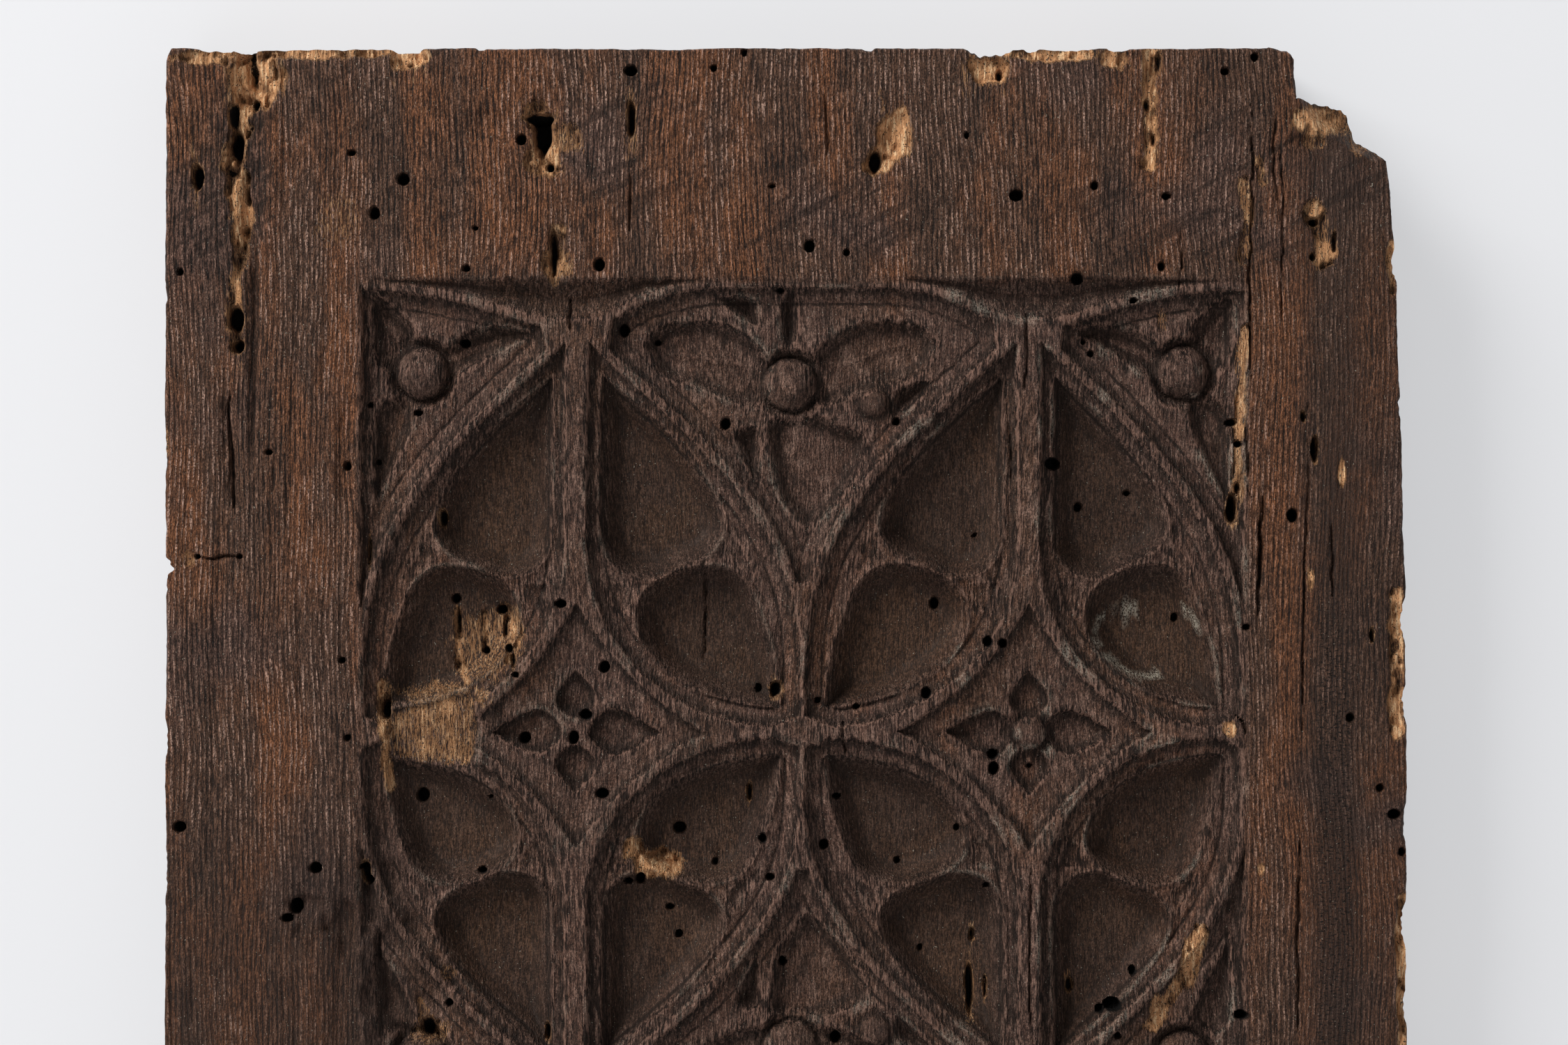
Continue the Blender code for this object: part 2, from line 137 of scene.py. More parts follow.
# How finely the board is cut before it is thinned
STEP = 0.3 * MM
MESH_STEP = 0.36 * MM
TARGET_TRIANGLES = 194_000
SIDE_ROWS = 14
POINTS_PER_SPAN = 6
RIDGE_POINTS = 36
EDGE_POINTS = 900
BREAK_POINTS = 260

# The share of a side that runs into its corner, the half sizes around a spot that its damage may reach, and
# the angle from which an edge stays crisp
CORNER_SHARE = 0.015
WINDOW_MARGIN = 1.5
SHARP_EDGE = math.radians(46)


class Seed:
    """The seed of each random field. A rough field takes the two numbers after its own as well."""

    WAVER, FINE_WAVER, UPWARD_WAVER, TEETH, TEETH_CLUSTERS = 11, 12, 13, 14, 15
    SOFTNESS, CREST_WEAR, GOUGES, FLOOR_MARKS = 21, 31, 41, 45
    GRAIN_BEND, GROOVES, RIDGES, WORN_BORDER = 51, 52, 53, 55
    FIBRES, RAGGED, CHIP_PITS, ROT, GNAWING = 61, 64, 67, 71, 73
    RUN_WAVER, CRUST_BREADTH, CRUST_PLACES = 81, 91, 95
    EDGE_FINE, EDGE_LONG, EDGE_TEETH, NOTCHES, TORN_BREAK, SAW_CUT = 101, 103, 105, 107, 111, 121
    LONG_GRAIN, END_GRAIN, SIDE_WEAR, ARRIS, PLANING = 131, 134, 137, 141, 143


# The field and the tracery's lines on the board
FIELD_LEFT = LEFT + BORDER_LEFT
FIELD_RIGHT = RIGHT - BORDER_RIGHT
FIELD_BOTTOM = BOTTOM + BORDER_BOTTOM
FIELD_TOP = TOP - BORDER_TOP
SPINE_X = (FIELD_LEFT + FIELD_RIGHT) / 2
TRANSOM_Z = (FIELD_BOTTOM + FIELD_TOP) / 2 - TRANSOM_BELOW_CENTRE
MULLIONS = (SPINE_X - MULLION_SPACING / 2, SPINE_X + MULLION_SPACING / 2)
INNER_HALF = MULLION_SPACING / 2
OUTER_SIDE = (FIELD_RIGHT - FIELD_LEFT) / 2 - INNER_HALF
OUTER_HALF = OUTER_SIDE - OVAL_SIDE_GAP
UPPER_SIDE = FIELD_TOP - TRANSOM_Z
LOWER_SIDE = TRANSOM_Z - FIELD_BOTTOM

# Beetle holes in the photograph: pixel across, pixel down, radius in pixels
BEETLE_HOLES = (
    (579, 257, 9), (537, 306, 9), (504, 219, 5), (860, 380, 9), (669, 385, 5), (682, 327, 4),
    (258, 390, 5), (365, 147, 5), (748, 200, 8), (789, 240, 6), (664, 490, 7), (895, 473, 9),
    (905, 101, 9), (1024, 97, 5), (1068, 75, 5), (1108, 267, 4), (1162, 353, 9), (1215, 362, 5),
    (1459, 280, 10), (1387, 194, 4), (1120, 415, 5), (943, 490, 5), (1571, 266, 6), (1674, 281, 6),
    (1667, 382, 6), (1546, 399, 9), (1758, 102, 6), (1801, 81, 6), (1627, 431, 5), (1041, 608, 8),
    (1287, 605, 6), (598, 592, 6), (498, 669, 6), (385, 649, 5), (529, 581, 4), (539, 663, 4),
    (804, 867, 8), (650, 860, 7), (716, 876, 7), (1512, 665, 11), (1551, 728, 6), (1769, 606, 7),
    (1567, 507, 5), (1556, 490, 4), (1622, 708, 5), (1343, 867, 8), (1401, 769, 3), (694, 936, 6),
    (728, 932, 6), (739, 969, 5), (867, 958, 9), (751, 1061, 9), (840, 1028, 9), (822, 1060, 9),
    (863, 1140, 9), (498, 1059, 5), (602, 1145, 10), (690, 1253, 6), (1088, 990, 6), (1173, 1006, 5),
    (974, 1192, 9), (1095, 1206, 7), (1105, 1261, 6), (1182, 1214, 8), (917, 1264, 8), (900, 1267, 6),
    (1026, 1242, 5), (490, 948, 5), (702, 1145, 3), (1330, 996, 8), (1229, 1015, 5), (1419, 922, 8),
    (1439, 923, 7), (1426, 1085, 8), (1427, 1104, 9), (1479, 1101, 4), (1289, 1240, 5), (1375, 1191, 5),
    (1200, 1145, 6), (1691, 887, 6), (1789, 900, 5), (643, 1442, 6), (1122, 1383, 6), (960, 1307, 6),
    (973, 1346, 6), (530, 1264, 6), (519, 1245, 5), (1199, 1493, 9), (1599, 1446, 12), (1581, 1453, 7),
    (1629, 1398, 7), (1783, 1459, 9), (1322, 1366, 4), (1605, 1489, 5), (1417, 1273, 4), (1855, 740, 9),
    (1779, 637, 6), (1938, 1030, 6), (1981, 1131, 6), (2001, 1169, 9), (2012, 1223, 6), (257, 1187, 9),
    (453, 1246, 9), (424, 1301, 11), (412, 1318, 8), (282, 799, 4), (343, 799, 4),
)

# Beetle galleries that have broken open: pixel across, pixel down, half width, half height, depth in mm
OPEN_GALLERIES = (
    (338, 212, 12, 26, 5.0), (333, 165, 8, 22, 3.0), (338, 460, 13, 22, 4.5), (341, 497, 10, 13, 3.5),
    (283, 254, 8, 20, 5.0), (780, 192, 17, 26, 6.0), (775, 170, 24, 7, 3.5), (794, 365, 5, 36, 3.5),
    (906, 172, 7, 32, 4.0), (1256, 232, 10, 18, 3.0), (1663, 88, 5, 16, 2.6), (1646, 150, 5, 12, 2.4),
    (1656, 200, 4, 14, 2.4), (1887, 318, 8, 8, 4.0), (1884, 368, 5, 8, 3.5), (1915, 345, 4, 16, 3.0),
    (1887, 644, 6, 20, 5.0), (1871, 598, 4, 9, 3.0), (1770, 733, 9, 24, 6.0), (1778, 700, 4, 10, 2.6),
    (632, 745, 6, 14, 4.0), (551, 1021, 8, 16, 4.5), (1113, 991, 9, 13, 5.0), (1075, 1140, 4, 14, 3.0),
    (1969, 912, 4, 13, 3.0), (1397, 1346, 4, 12, 2.5), (1393, 1424, 6, 48, 4.0), (1537, 1421, 5, 12, 2.5),
    (524, 1252, 6, 15, 3.0), (785, 1484, 5, 15, 3.0), (653, 892, 4, 24, 3.0), (722, 903, 4, 20, 3.0),
    (735, 950, 5, 14, 3.0), (1434, 108, 5, 8, 2.5), (611, 1480, 11, 20, 3.0), (1416, 1422, 3, 16, 2.0),
    (365, 150, 6, 10, 3.0), (529, 792, 3, 26, 1.8),
)

# Chips down to pale wood: pixel across, pixel down, half width, half height, depth in mm, paleness
CHIPS = (
    (368, 112, 40, 40, 2.4, 1.0), (300, 82, 52, 12, 1.4, 0.8), (440, 76, 70, 9, 1.0, 0.7),
    (580, 84, 28, 19, 1.7, 1.0), (530, 74, 30, 10, 1.0, 0.8), (345, 175, 12, 56, 1.6, 0.7),
    (352, 330, 8, 60, 1.0, 0.5), (1418, 100, 32, 24, 2.2, 1.0), (1525, 78, 46, 12, 1.2, 0.9),
    (1602, 84, 20, 17, 1.4, 1.0), (1652, 120, 9, 60, 1.0, 0.7), (1285, 196, 26, 34, 1.5, 0.9),
    (1262, 236, 24, 16, 1.2, 0.8), (800, 200, 44, 24, 1.0, 0.55), (772, 232, 26, 20, 1.2, 0.7),
    (800, 380, 24, 26, 1.5, 0.7), (2004, 890, 12, 30, 1.4, 0.9), (2003, 1010, 16, 34, 1.2, 0.7),
    (2014, 1400, 9, 100, 1.2, 0.9), (1997, 380, 9, 28, 1.2, 0.7), (1926, 682, 6, 20, 0.5, 1.0),
    (1881, 832, 6, 20, 0.5, 0.9), (1710, 1385, 13, 44, 0.8, 0.8), (1662, 1452, 12, 24, 0.8, 0.7),
    (1767, 1046, 14, 13, 0.7, 0.9), (1809, 1248, 6, 9, 0.4, 0.8), (1781, 600, 6, 44, 0.8, 0.8),
    (1783, 690, 5, 40, 0.8, 0.6), (1777, 520, 4, 30, 0.5, 0.5), (640, 1000, 70, 22, 0.2, 0.55),
    (700, 925, 58, 60, 0.3, 0.45), (548, 1000, 10, 26, 1.2, 0.6), (940, 1243, 40, 26, 2.4, 0.9),
    (905, 1220, 14, 20, 1.4, 0.9), (488, 315, 40, 40, 0.3, 0.35), (1895, 170, 46, 24, 0.6, 0.9),
    (1950, 205, 14, 20, 0.6, 0.5), (1886, 205, 20, 10, 0.8, 0.5), (238, 640, 5, 26, 0.6, 0.6),
    (272, 800, 10, 16, 0.5, 0.5), (1670, 460, 9, 22, 0.5, 0.4), (618, 1486, 30, 22, 1.2, 0.5),
    (640, 1398, 14, 12, 0.5, 0.4), (735, 905, 14, 40, 0.6, 0.6),
)

# Tracks where beetles have gnawed the surface away: half width in pixels, depth in mm, paleness, then the
# pixels that the track runs through
GNAWED_TRACKS = (
    (17, 3.2, 0.9, (352, 70), (356, 120), (345, 170), (334, 240), (347, 300), (344, 340)),
    (11, 2.6, 0.75, (348, 330), (338, 400), (340, 500)),
    (10, 1.6, 0.8, (300, 70), (380, 72), (470, 76), (560, 74), (610, 80)),
    (12, 1.6, 0.85, (1652, 64), (1650, 150), (1656, 225), (1650, 235)),
    (15, 1.6, 0.9, (1250, 240), (1268, 212), (1292, 168)),
    (7, 1.6, 0.7, (1789, 470), (1781, 600), (1776, 700)),
    (9, 1.8, 0.8, (545, 985), (552, 1050), (556, 1130)),
    (12, 1.8, 0.85, (2003, 850), (2006, 930), (2003, 1050)),
    (9, 1.8, 0.85, (2012, 1290), (2014, 1400), (2013, 1500)),
    (7, 1.4, 0.8, (1998, 350), (1999, 420)),
    (12, 1.4, 0.8, (1727, 1340), (1700, 1400), (1655, 1475)),
    (17, 2.2, 0.8, (1888, 305), (1898, 345), (1900, 372)),
    (9, 1.0, 0.62, (1787, 262), (1792, 330), (1784, 372)),
    (8, 0.8, 0.7, (1806, 232), (1812, 262)),
    (20, 2.2, 0.8, (770, 160), (785, 200), (792, 232)),
    (12, 1.6, 0.6, (800, 330), (795, 400)),
    (8, 2.0, 0.75, (724, 872), (738, 920), (728, 950)),
    (7, 1.8, 0.7, (650, 880), (655, 945), (668, 980)),
    (6, 1.6, 0.65, (690, 880), (694, 930)),
    (9, 1.4, 0.9, (1420, 70), (1480, 80), (1560, 76)),
    (14, 2.2, 0.85, (905, 1212), (925, 1245), (968, 1248)),
    (10, 1.6, 0.5, (600, 1440), (625, 1499)),
)

# Flaking and rot that stay dark: pixel across, pixel down, half width, half height, depth in mm
ROTTEN_PATCHES = (
    (548, 1262, 40, 34, 2.2), (500, 1330, 44, 46, 2.0), (575, 1345, 44, 40, 2.4),
    (620, 1425, 40, 60, 2.2), (545, 1430, 40, 44, 1.8), (560, 1490, 40, 22, 1.8),
    (440, 1300, 40, 20, 1.4), (440, 1345, 34, 22, 1.4), (430, 1290, 26, 30, 1.0), (700, 175, 46, 26, 0.8),
    (330, 620, 16, 70, 1.2), (335, 700, 14, 40, 1.0), (500, 660, 20, 90, 1.0), (495, 900, 16, 60, 0.8),
    (1900, 205, 60, 22, 1.6), (1500, 1490, 50, 20, 1.0), (1240, 1300, 40, 30, 0.6),
    (545, 1180, 26, 40, 1.2), (1790, 735, 20, 26, 0.8),
)

# Cracks along the grain: width in mm, depth in mm, then pixels that the crack runs through
CRACKS = (
    (0.28, 2.0, (1795, 150), (1798, 250), (1794, 390), (1796, 545)),
    (0.45, 3.0, (1812, 706), (1809, 760), (1806, 890)),
    (0.22, 1.2, (1694, 330), (1696, 420)),
    (0.22, 1.2, (1838, 200), (1842, 320), (1839, 470)),
    (0.25, 1.4, (1879, 560), (1876, 735), (1871, 860), (1869, 1090)),
    (0.35, 1.6, (1866, 1200), (1862, 1350), (1864, 1499)),
    (0.3, 1.4, (1791, 585), (1790, 640), (1792, 700), (1797, 716)),
    (0.3, 1.4, (1913, 742), (1912, 860)),
    (0.4, 1.6, (817, 425), (819, 478)),
    (0.4, 1.6, (1471, 436), (1474, 500), (1472, 565)),
    (0.35, 1.4, (1209, 1034), (1210, 1060), (1214, 1084)),
    (0.4, 1.4, (282, 799), (303, 803), (322, 798), (343, 799)),
    (0.5, 1.6, (329, 564), (326, 590), (332, 650), (337, 738)),
    (0.3, 2.0, (1772, 1026), (1787, 1038), (1788, 1054)),
    (0.35, 1.4, (1010, 800), (1012, 870), (1008, 960)),
    (0.3, 1.2, (1450, 600), (1452, 690)),
    (0.35, 1.4, (1480, 1240), (1478, 1400), (1481, 1499)),
    (0.3, 1.2, (1830, 150), (1828, 240), (1834, 300)),
    (0.3, 1.2, (905, 240), (903, 330)),
    (0.3, 1.2, (1185, 130), (1187, 230)),
)

# A white crust on the rim of a lobe's floor: the pixels that it runs through
CRUST_RUNS = (
    ((1642, 872), (1604, 875), (1578, 893), (1573, 915), (1588, 940), (1612, 962), (1640, 976), (1664, 969)),
    ((1700, 870), (1716, 884), (1721, 900)),
)
CRUST_WIDTH = 1.1 * MM

# Notches in the board's outline: edge, pixel along it, half length and depth in pixels
TOP_NOTCHES = (
    (1420, 40, 9), (330, 60, 4), (585, 26, 4), (1530, 50, 2), (1605, 18, 4), (690, 8, 3), (1246, 10, 3),
    (1480, 12, 3),
)
LEFT_NOTCHES = (
    (650, 40, 2), (812, 14, 6), (830, 30, 3), (1060, 30, 3), (1250, 40, 2), (420, 20, 2),
)
RIGHT_NOTCHES = (
    (585, 16, 3), (380, 26, 4), (890, 34, 5), (1010, 30, 4), (1180, 30, 3), (1330, 40, 4), (1450, 30, 3),
)


def from_photo(across, down):
    """A pixel of the photograph as a place on the panel's front."""
    return (across - CENTRE_PIXEL[0]) * PIXEL, (CENTRE_PIXEL[1] - down) * PIXEL


# The table of random numbers behind a mottled field, and where the board's centre falls in it
TABLE_SIZE = (997, 991)
TABLE_START = (311.3, 307.7)


def between_cells(table, across, upwards):
    """A table's value between four cells, given as two indexes and a share of the way for each direction."""
    (i0, i1, fu), (j0, j1, fv) = across, upwards
    low = table[i0, j0] * (1 - fu) + table[i1, j0] * fu
    high = table[i0, j1] * (1 - fu) + table[i1, j1] * fu
    return low * (1 - fv) + high * fv


def mottle(x, z, cell_x, cell_z, seed):
    """A smooth random field from -1 to 1, with blotches one cell across."""
    wide, high = TABLE_SIZE
    table = np.random.default_rng(seed).uniform(-1, 1, TABLE_SIZE)
    u, v = x / cell_x + TABLE_START[0], z / cell_z + TABLE_START[1]
    i, j = np.floor(u).astype(int), np.floor(v).astype(int)
    fu, fv = u - i, v - j
    fu, fv = fu * fu * (3 - 2 * fu), fv * fv * (3 - 2 * fv)
    i0, i1, j0, j1 = i % wide, (i + 1) % wide, j % high, (j + 1) % high
    return between_cells(table, (i0, i1, fu), (j0, j1, fv))


def rough(x, z, cell, seed, stretch=1.0):
    """Three scales of mottling added together, stretched along the grain."""
    total = mottle(x, z, cell, cell * stretch, seed)
    total += 0.5 * mottle(x, z, cell / 2.1, cell * stretch / 2.1, seed + 1)
    total += 0.25 * mottle(x, z, cell / 4.3, cell * stretch / 4.3, seed + 2)
    return total / 1.75


def smooth_step(value, low, high):
    """0 below low, 1 above high and an easy curve between."""
    share = np.clip((value - low) / (high - low), 0, 1)
    return share * share * (3 - 2 * share)


def ramped(inside):
    """0.5 on an edge, rising to 1 well inside it, so that the material can cut the edge off sharply."""
    return np.clip(0.5 + 0.5 * inside / MARK_REACH, 0, 1)


def bezier(p0, p1, p2, p3, count):
    """Points along a cubic Bezier curve, both ends included."""
    t = np.linspace(0, 1, count)[:, None]
    corners = [np.array(p, float) for p in (p0, p1, p2, p3)]
    weights = ((1 - t) ** 3, 3 * t * (1 - t) ** 2, 3 * t**2 * (1 - t), t**3)
    return sum(w * p for w, p in zip(weights, corners))


def smooth_leaf(points):
    """A closed outline with one sharp tip at its first point and a smooth curve through the others."""
    points = np.array(points, float)
    knots = np.vstack([points[0], points, points[0], points[0]])
    outline = []
    for a, b, c, d in zip(knots, knots[1:], knots[2:], knots[3:]):
        for t in np.arange(POINTS_PER_SPAN) / POINTS_PER_SPAN:
            outline.append(
                b + 0.5 * t * (c - a)
                + t**2 * (a - 2.5 * b + 2 * c - 0.5 * d)
                + t**3 * (1.5 * (b - c) + 0.5 * (d - a))
            )
    return np.array(outline)


def from_segment(x, z, start, end):
    """How far points lie from a segment, and how far along it the nearest place is, as a share."""
    (ax, az), (bx, bz) = start, end
    ex, ez = bx - ax, bz - az
    share = np.clip(((x - ax) * ex + (z - az) * ez) / (ex * ex + ez * ez), 0, 1)
    return np.hypot(x - ax - share * ex, z - az - share * ez), share


def lengths_along(line):
    """The length of a line up to each of its points."""
    return np.concatenate([[0], np.cumsum(np.hypot(*np.diff(line, axis=0).T))])


def offset_line(line, distance):
    """A line moved to the left of its own direction by a distance."""
    along_line = np.gradient(line, axis=0)
    along_line /= np.linalg.norm(along_line, axis=1)[:, None]
    return line + distance * np.column_stack([-along_line[:, 1], along_line[:, 0]])


def ramp(share):
    """A plain chamfer."""
    return share


def cove(share):
    """A hollow chamfer: a quarter of a round, upright at its rim."""
    return np.sqrt(share * (2 - share))


def dished(share):
    """A wall that is steep at its rim and eases towards the floor, which it meets at a soft crease."""
    return 0.6 * np.sin(share * math.pi / 2) + 0.4 * share


class Relief:
    """The front face as a depth below the board's surface, with marks of where the carver worked."""

    def __init__(self, x, z, calm_z):
        self.x, self.z, self.calm_z = x, z, calm_z
        self.depth = np.zeros_like(x)
        self.marks = {name: np.zeros_like(x) for name in ("floor", "ground", "bared", "rim", "line")}

    def around(self, outline, calm=False):
        """The indexes of the points around an outline, how far they lie from it and whether inside."""
        low, high = outline.min(axis=0) - MARK_REACH, outline.max(axis=0) + MARK_REACH
        all_z = self.calm_z if calm else self.z
        near = (self.x > low[0]) & (self.x < high[0]) & (all_z > low[1]) & (all_z < high[1])
        index = np.flatnonzero(near)
        x, z = self.x[index], all_z[index]
        inside = np.zeros(len(index), bool)
        nearest = np.full(len(index), np.inf)
        for start, end in zip(outline, np.roll(outline, -1, axis=0)):
            if (start == end).all():
                continue
            nearest = np.minimum(nearest, from_segment(x, z, start, end)[0])
            (ax, az), (bx, bz) = start, end
            if az != bz:
                inside ^= ((az > z) != (bz > z)) & (x < ax + (z - az) * (bx - ax) / (bz - az))
        return index, nearest, inside

    def sink(self, outline, floor, wall, shape=ramp, mark=None):
        """Cuts the outline down to a floor depth, with a sloping wall just inside it."""
        index, distance, inside = self.around(np.array(outline, float), calm=mark == "floor")
        nearness = (LOBE_RIM_SHARE if mark == "floor" else 1) - distance / MARK_REACH
        self.marks["rim"][index] = np.maximum(self.marks["rim"][index], nearness)
        index, distance = index[inside], distance[inside]
        share = shape(np.clip(distance / wall, 0, 1))
        self.depth[index] += np.maximum(floor - self.depth[index], 0) * share
        if mark:
            self.marks[mark][index] = np.maximum(self.marks[mark][index], share)

    def score(self, outline, inset):
        """Scores a fine line at a distance inside an outline."""
        index, distance, inside = self.around(np.array(outline, float))
        index, away = index[inside], np.abs(distance[inside] - inset)
        self.depth[index] += SCORE_DEPTH * np.clip(1 - away / (SCORE_WIDTH / 2), 0, 1)
        self.marks["line"][index] = np.maximum(self.marks["line"][index], 1 - away / MARK_REACH)

    def bead(self, outline):
        """Leaves a thin fillet standing along an outline."""
        index, distance, _ = self.around(np.array(outline, float), calm=True)
        self.depth[index] -= BEAD_HEIGHT * np.clip(1 - distance / BEAD_WIDTH, 0, 1)

    def raise_vein(self, start, end):
        """Leaves a low rib standing along a petal's middle."""
        (ax, az), (bx, bz) = start, end
        ex, ez = bx - ax, bz - az
        length = math.hypot(ex, ez)
        share = ((self.x - ax) * ex + (self.z - az) * ez) / length**2
        across = np.abs((self.x - ax) * ez - (self.z - az) * ex) / length
        on = (share > 0) & (share < 1) & (across < VEIN_WIDTH)
        fade = np.sin(np.clip(share[on], 0, 1) * math.pi) ** 0.5
        self.depth[on] -= VEIN_HEIGHT * fade * (1 - across[on] / VEIN_WIDTH)

    def raise_ball(self, centre, radius):
        """Leaves a ball standing in a ring-shaped moat."""
        angles = np.linspace(0, 2 * math.pi, 41)[:-1]
        circle = np.column_stack([np.cos(angles), np.sin(angles)])
        ring = np.array(centre) + (radius + BALL_MOAT_WIDTH) * circle
        self.sink(ring, BALL_TOP_DEPTH + radius, BALL_MOAT_WIDTH)
        away = np.hypot(self.x - centre[0], self.z - centre[1])
        on = away < radius
        top = BALL_TOP_DEPTH + radius - np.sqrt(radius**2 - away[on] ** 2)
        self.depth[on] = np.minimum(self.depth[on], top)


class Quarter:
    """One quarter of a pointed oval, drawn outwards from the crossing of its mullion and transom.

    side is -1 or 1 for left or right of the mullion and rise -1 or 1 for below or above the transom.
    half and height are the quarter's reach along each, and points are given in shares of them.
    """

    def __init__(self, mullion_x, side, rise):
        self.mullion_x, self.side, self.rise = mullion_x, side, rise
        self.outer = (mullion_x < SPINE_X) == (side < 0)
        self.half = OUTER_HALF if self.outer else INNER_HALF
        self.reach = OUTER_SIDE if self.outer else INNER_HALF
        self.top = UPPER_SIDE if rise > 0 else LOWER_SIDE
        self.height = self.top - APEX_GAP

    def place(self, points):
        """Local lengths turned into panel coordinates."""
        points = np.array(points, float)
        x = self.mullion_x + self.side * points[:, 0]
        return np.column_stack([x, TRANSOM_Z + self.rise * points[:, 1]])

    def shares(self, points):
        """Shares of the quarter's half width and height turned into local lengths."""
        return np.array(points, float) * (self.half, self.height)

    def ridge(self):
        """The crest of the arch, from the apex down to the end of the transom."""
        return self.shares(bezier((0, 1), (0.76, 0.626), (1.08, 0.466), (1, 0), RIDGE_POINTS))

    def lights(self):
        """The chamfered area between arch, mullion and star that holds the two lobes."""
        arch = offset_line(self.ridge(), -RIDGE_WIDTH / 2)
        jamb = MULLION_WIDTH / 2
        sill = TRANSOM_WIDTH / 2
        arch = arch[(arch[:, 0] > jamb) & (arch[:, 1] > sill)]
        centre = self.shares([(0.88, 0.466)])[0]
        angles = np.linspace(math.pi, 1.5 * math.pi, 20)
        reach = centre - (jamb, sill)
        star_side = centre + reach * np.column_stack([np.cos(angles), np.sin(angles)])
        return self.place(np.vstack([arch[::-1], star_side]))

    def lobes(self):
        """Outlines of the two foils, the upper one along the mullion and the lower one over the transom."""
        upper = ((0.11, 0.885), (0.39, 0.755), (0.61, 0.600), (0.665, 0.505), (0.59, 0.437), (0.46, 0.408),
                 (0.355, 0.378), (0.205, 0.392), (0.118, 0.46), (0.105, 0.62))
        lower = ((0.905, 0.058), (0.885, 0.17), (0.835, 0.27), (0.765, 0.365), (0.655, 0.410), (0.515, 0.410),
                 (0.365, 0.380), (0.275, 0.325), (0.27, 0.25), (0.36, 0.17), (0.52, 0.107), (0.715, 0.073))
        return [self.place(self.shares(smooth_leaf(points))) for points in (upper, lower)]

    def eyes(self):
        """The small three-cornered sinkings between the lobes and the mouldings."""
        by_mullion = ((0.13, 0.37), (0.27, 0.365), (0.235, 0.30), (0.17, 0.29))
        by_arch = ((0.69, 0.495), (0.80, 0.385), (0.72, 0.405), (0.655, 0.435))
        return [self.place(self.shares(points)) for points in (by_mullion, by_arch)]

    def star_recess(self):
        """A quarter of the four-pointed hollow around the mullion and transom crossing."""
        return self.place(self.shares(bezier((0, 0.32), (0.147, 0.185), (0.33, 0.078), (0.58, 0), 12)))

    def apex_curve(self, drop=0.0):
        """The ogee crest from the apex out to the field's top edge, lowered by drop."""
        reach = self.reach if self.outer else 0.62 * self.half
        gap = self.top - self.height
        low = self.height + 0.12 * gap - drop
        high = self.top - 0.04 * gap - drop
        return bezier((0, low), (0.30 * reach, low), (0.38 * reach, high - 0.2 * gap), (reach, high), 16)

    def spandrel_edge(self):
        """The side of a spandrel that this quarter bounds, from the field's top edge to the foot."""
        crest = self.apex_curve(drop=RIDGE_WIDTH)
        arch = offset_line(self.ridge(), RIDGE_WIDTH / 2)
        arch = arch[(arch[:, 0] < self.reach - RIDGE_WIDTH / 2) & (arch[:, 0] > 0.09 * self.half)]
        crest = crest[crest[:, 0] > 0.13 * self.half]
        upright = self.height * 0.2
        return np.vstack([crest[::-1], arch[: np.argmax(arch[:, 1] < upright) or len(arch)]])

    def corner_spandrel(self):
        """The sunk corner outside an outer quarter."""
        edge = self.spandrel_edge()
        inset = self.reach - RIDGE_WIDTH / 2
        edge = edge[edge[:, 0] < inset]
        return self.place(np.vstack([edge, [(inset, edge[-1, 1]), (inset, edge[0, 1])]]))

    def corner_flower(self):
        """The heart of a corner's flower, its three petals and the lines of their veins."""
        heart = self.shares([(0.725, 0.885)])[0]
        to_corner = ((0.72, 0.93), (0.77, 1.01), (0.93, 1.075), (0.965, 1.0), (0.93, 0.90), (0.82, 0.885))
        to_apex = ((0.20, 0.985), (0.35, 1.005), (0.52, 0.985), (0.65, 0.93), (0.60, 0.865), (0.40, 0.925))
        down = ((0.94, 0.56), (0.955, 0.68), (0.93, 0.80), (0.80, 0.835), (0.74, 0.80), (0.80, 0.70))
        petals = [self.place(self.shares(smooth_leaf(points))) for points in (to_corner, to_apex, down)]
        veins = [((0.80, 0.94), (0.93, 1.04)), ((0.60, 0.92), (0.28, 0.985)), ((0.80, 0.80), (0.92, 0.62))]
        return self.place([heart])[0], petals, [self.place(self.shares(vein)) for vein in veins]


def lunette(left, right):
    """The hollow over one apex, between the field's edge and the two ogee crests."""
    crest = np.vstack([left.place(left.apex_curve())[::-1], right.place(right.apex_curve())[1:]])
    edge = TRANSOM_Z + left.rise * left.top
    return np.vstack([crest, [(crest[-1, 0], edge), (crest[0, 0], edge)]])


def middle_spandrel(left, right):
    """The sunk triangle between the two ovals, from the inner quarters on either side of the spine."""
    return np.vstack([left.place(left.spandrel_edge()), right.place(right.spandrel_edge())[::-1]])


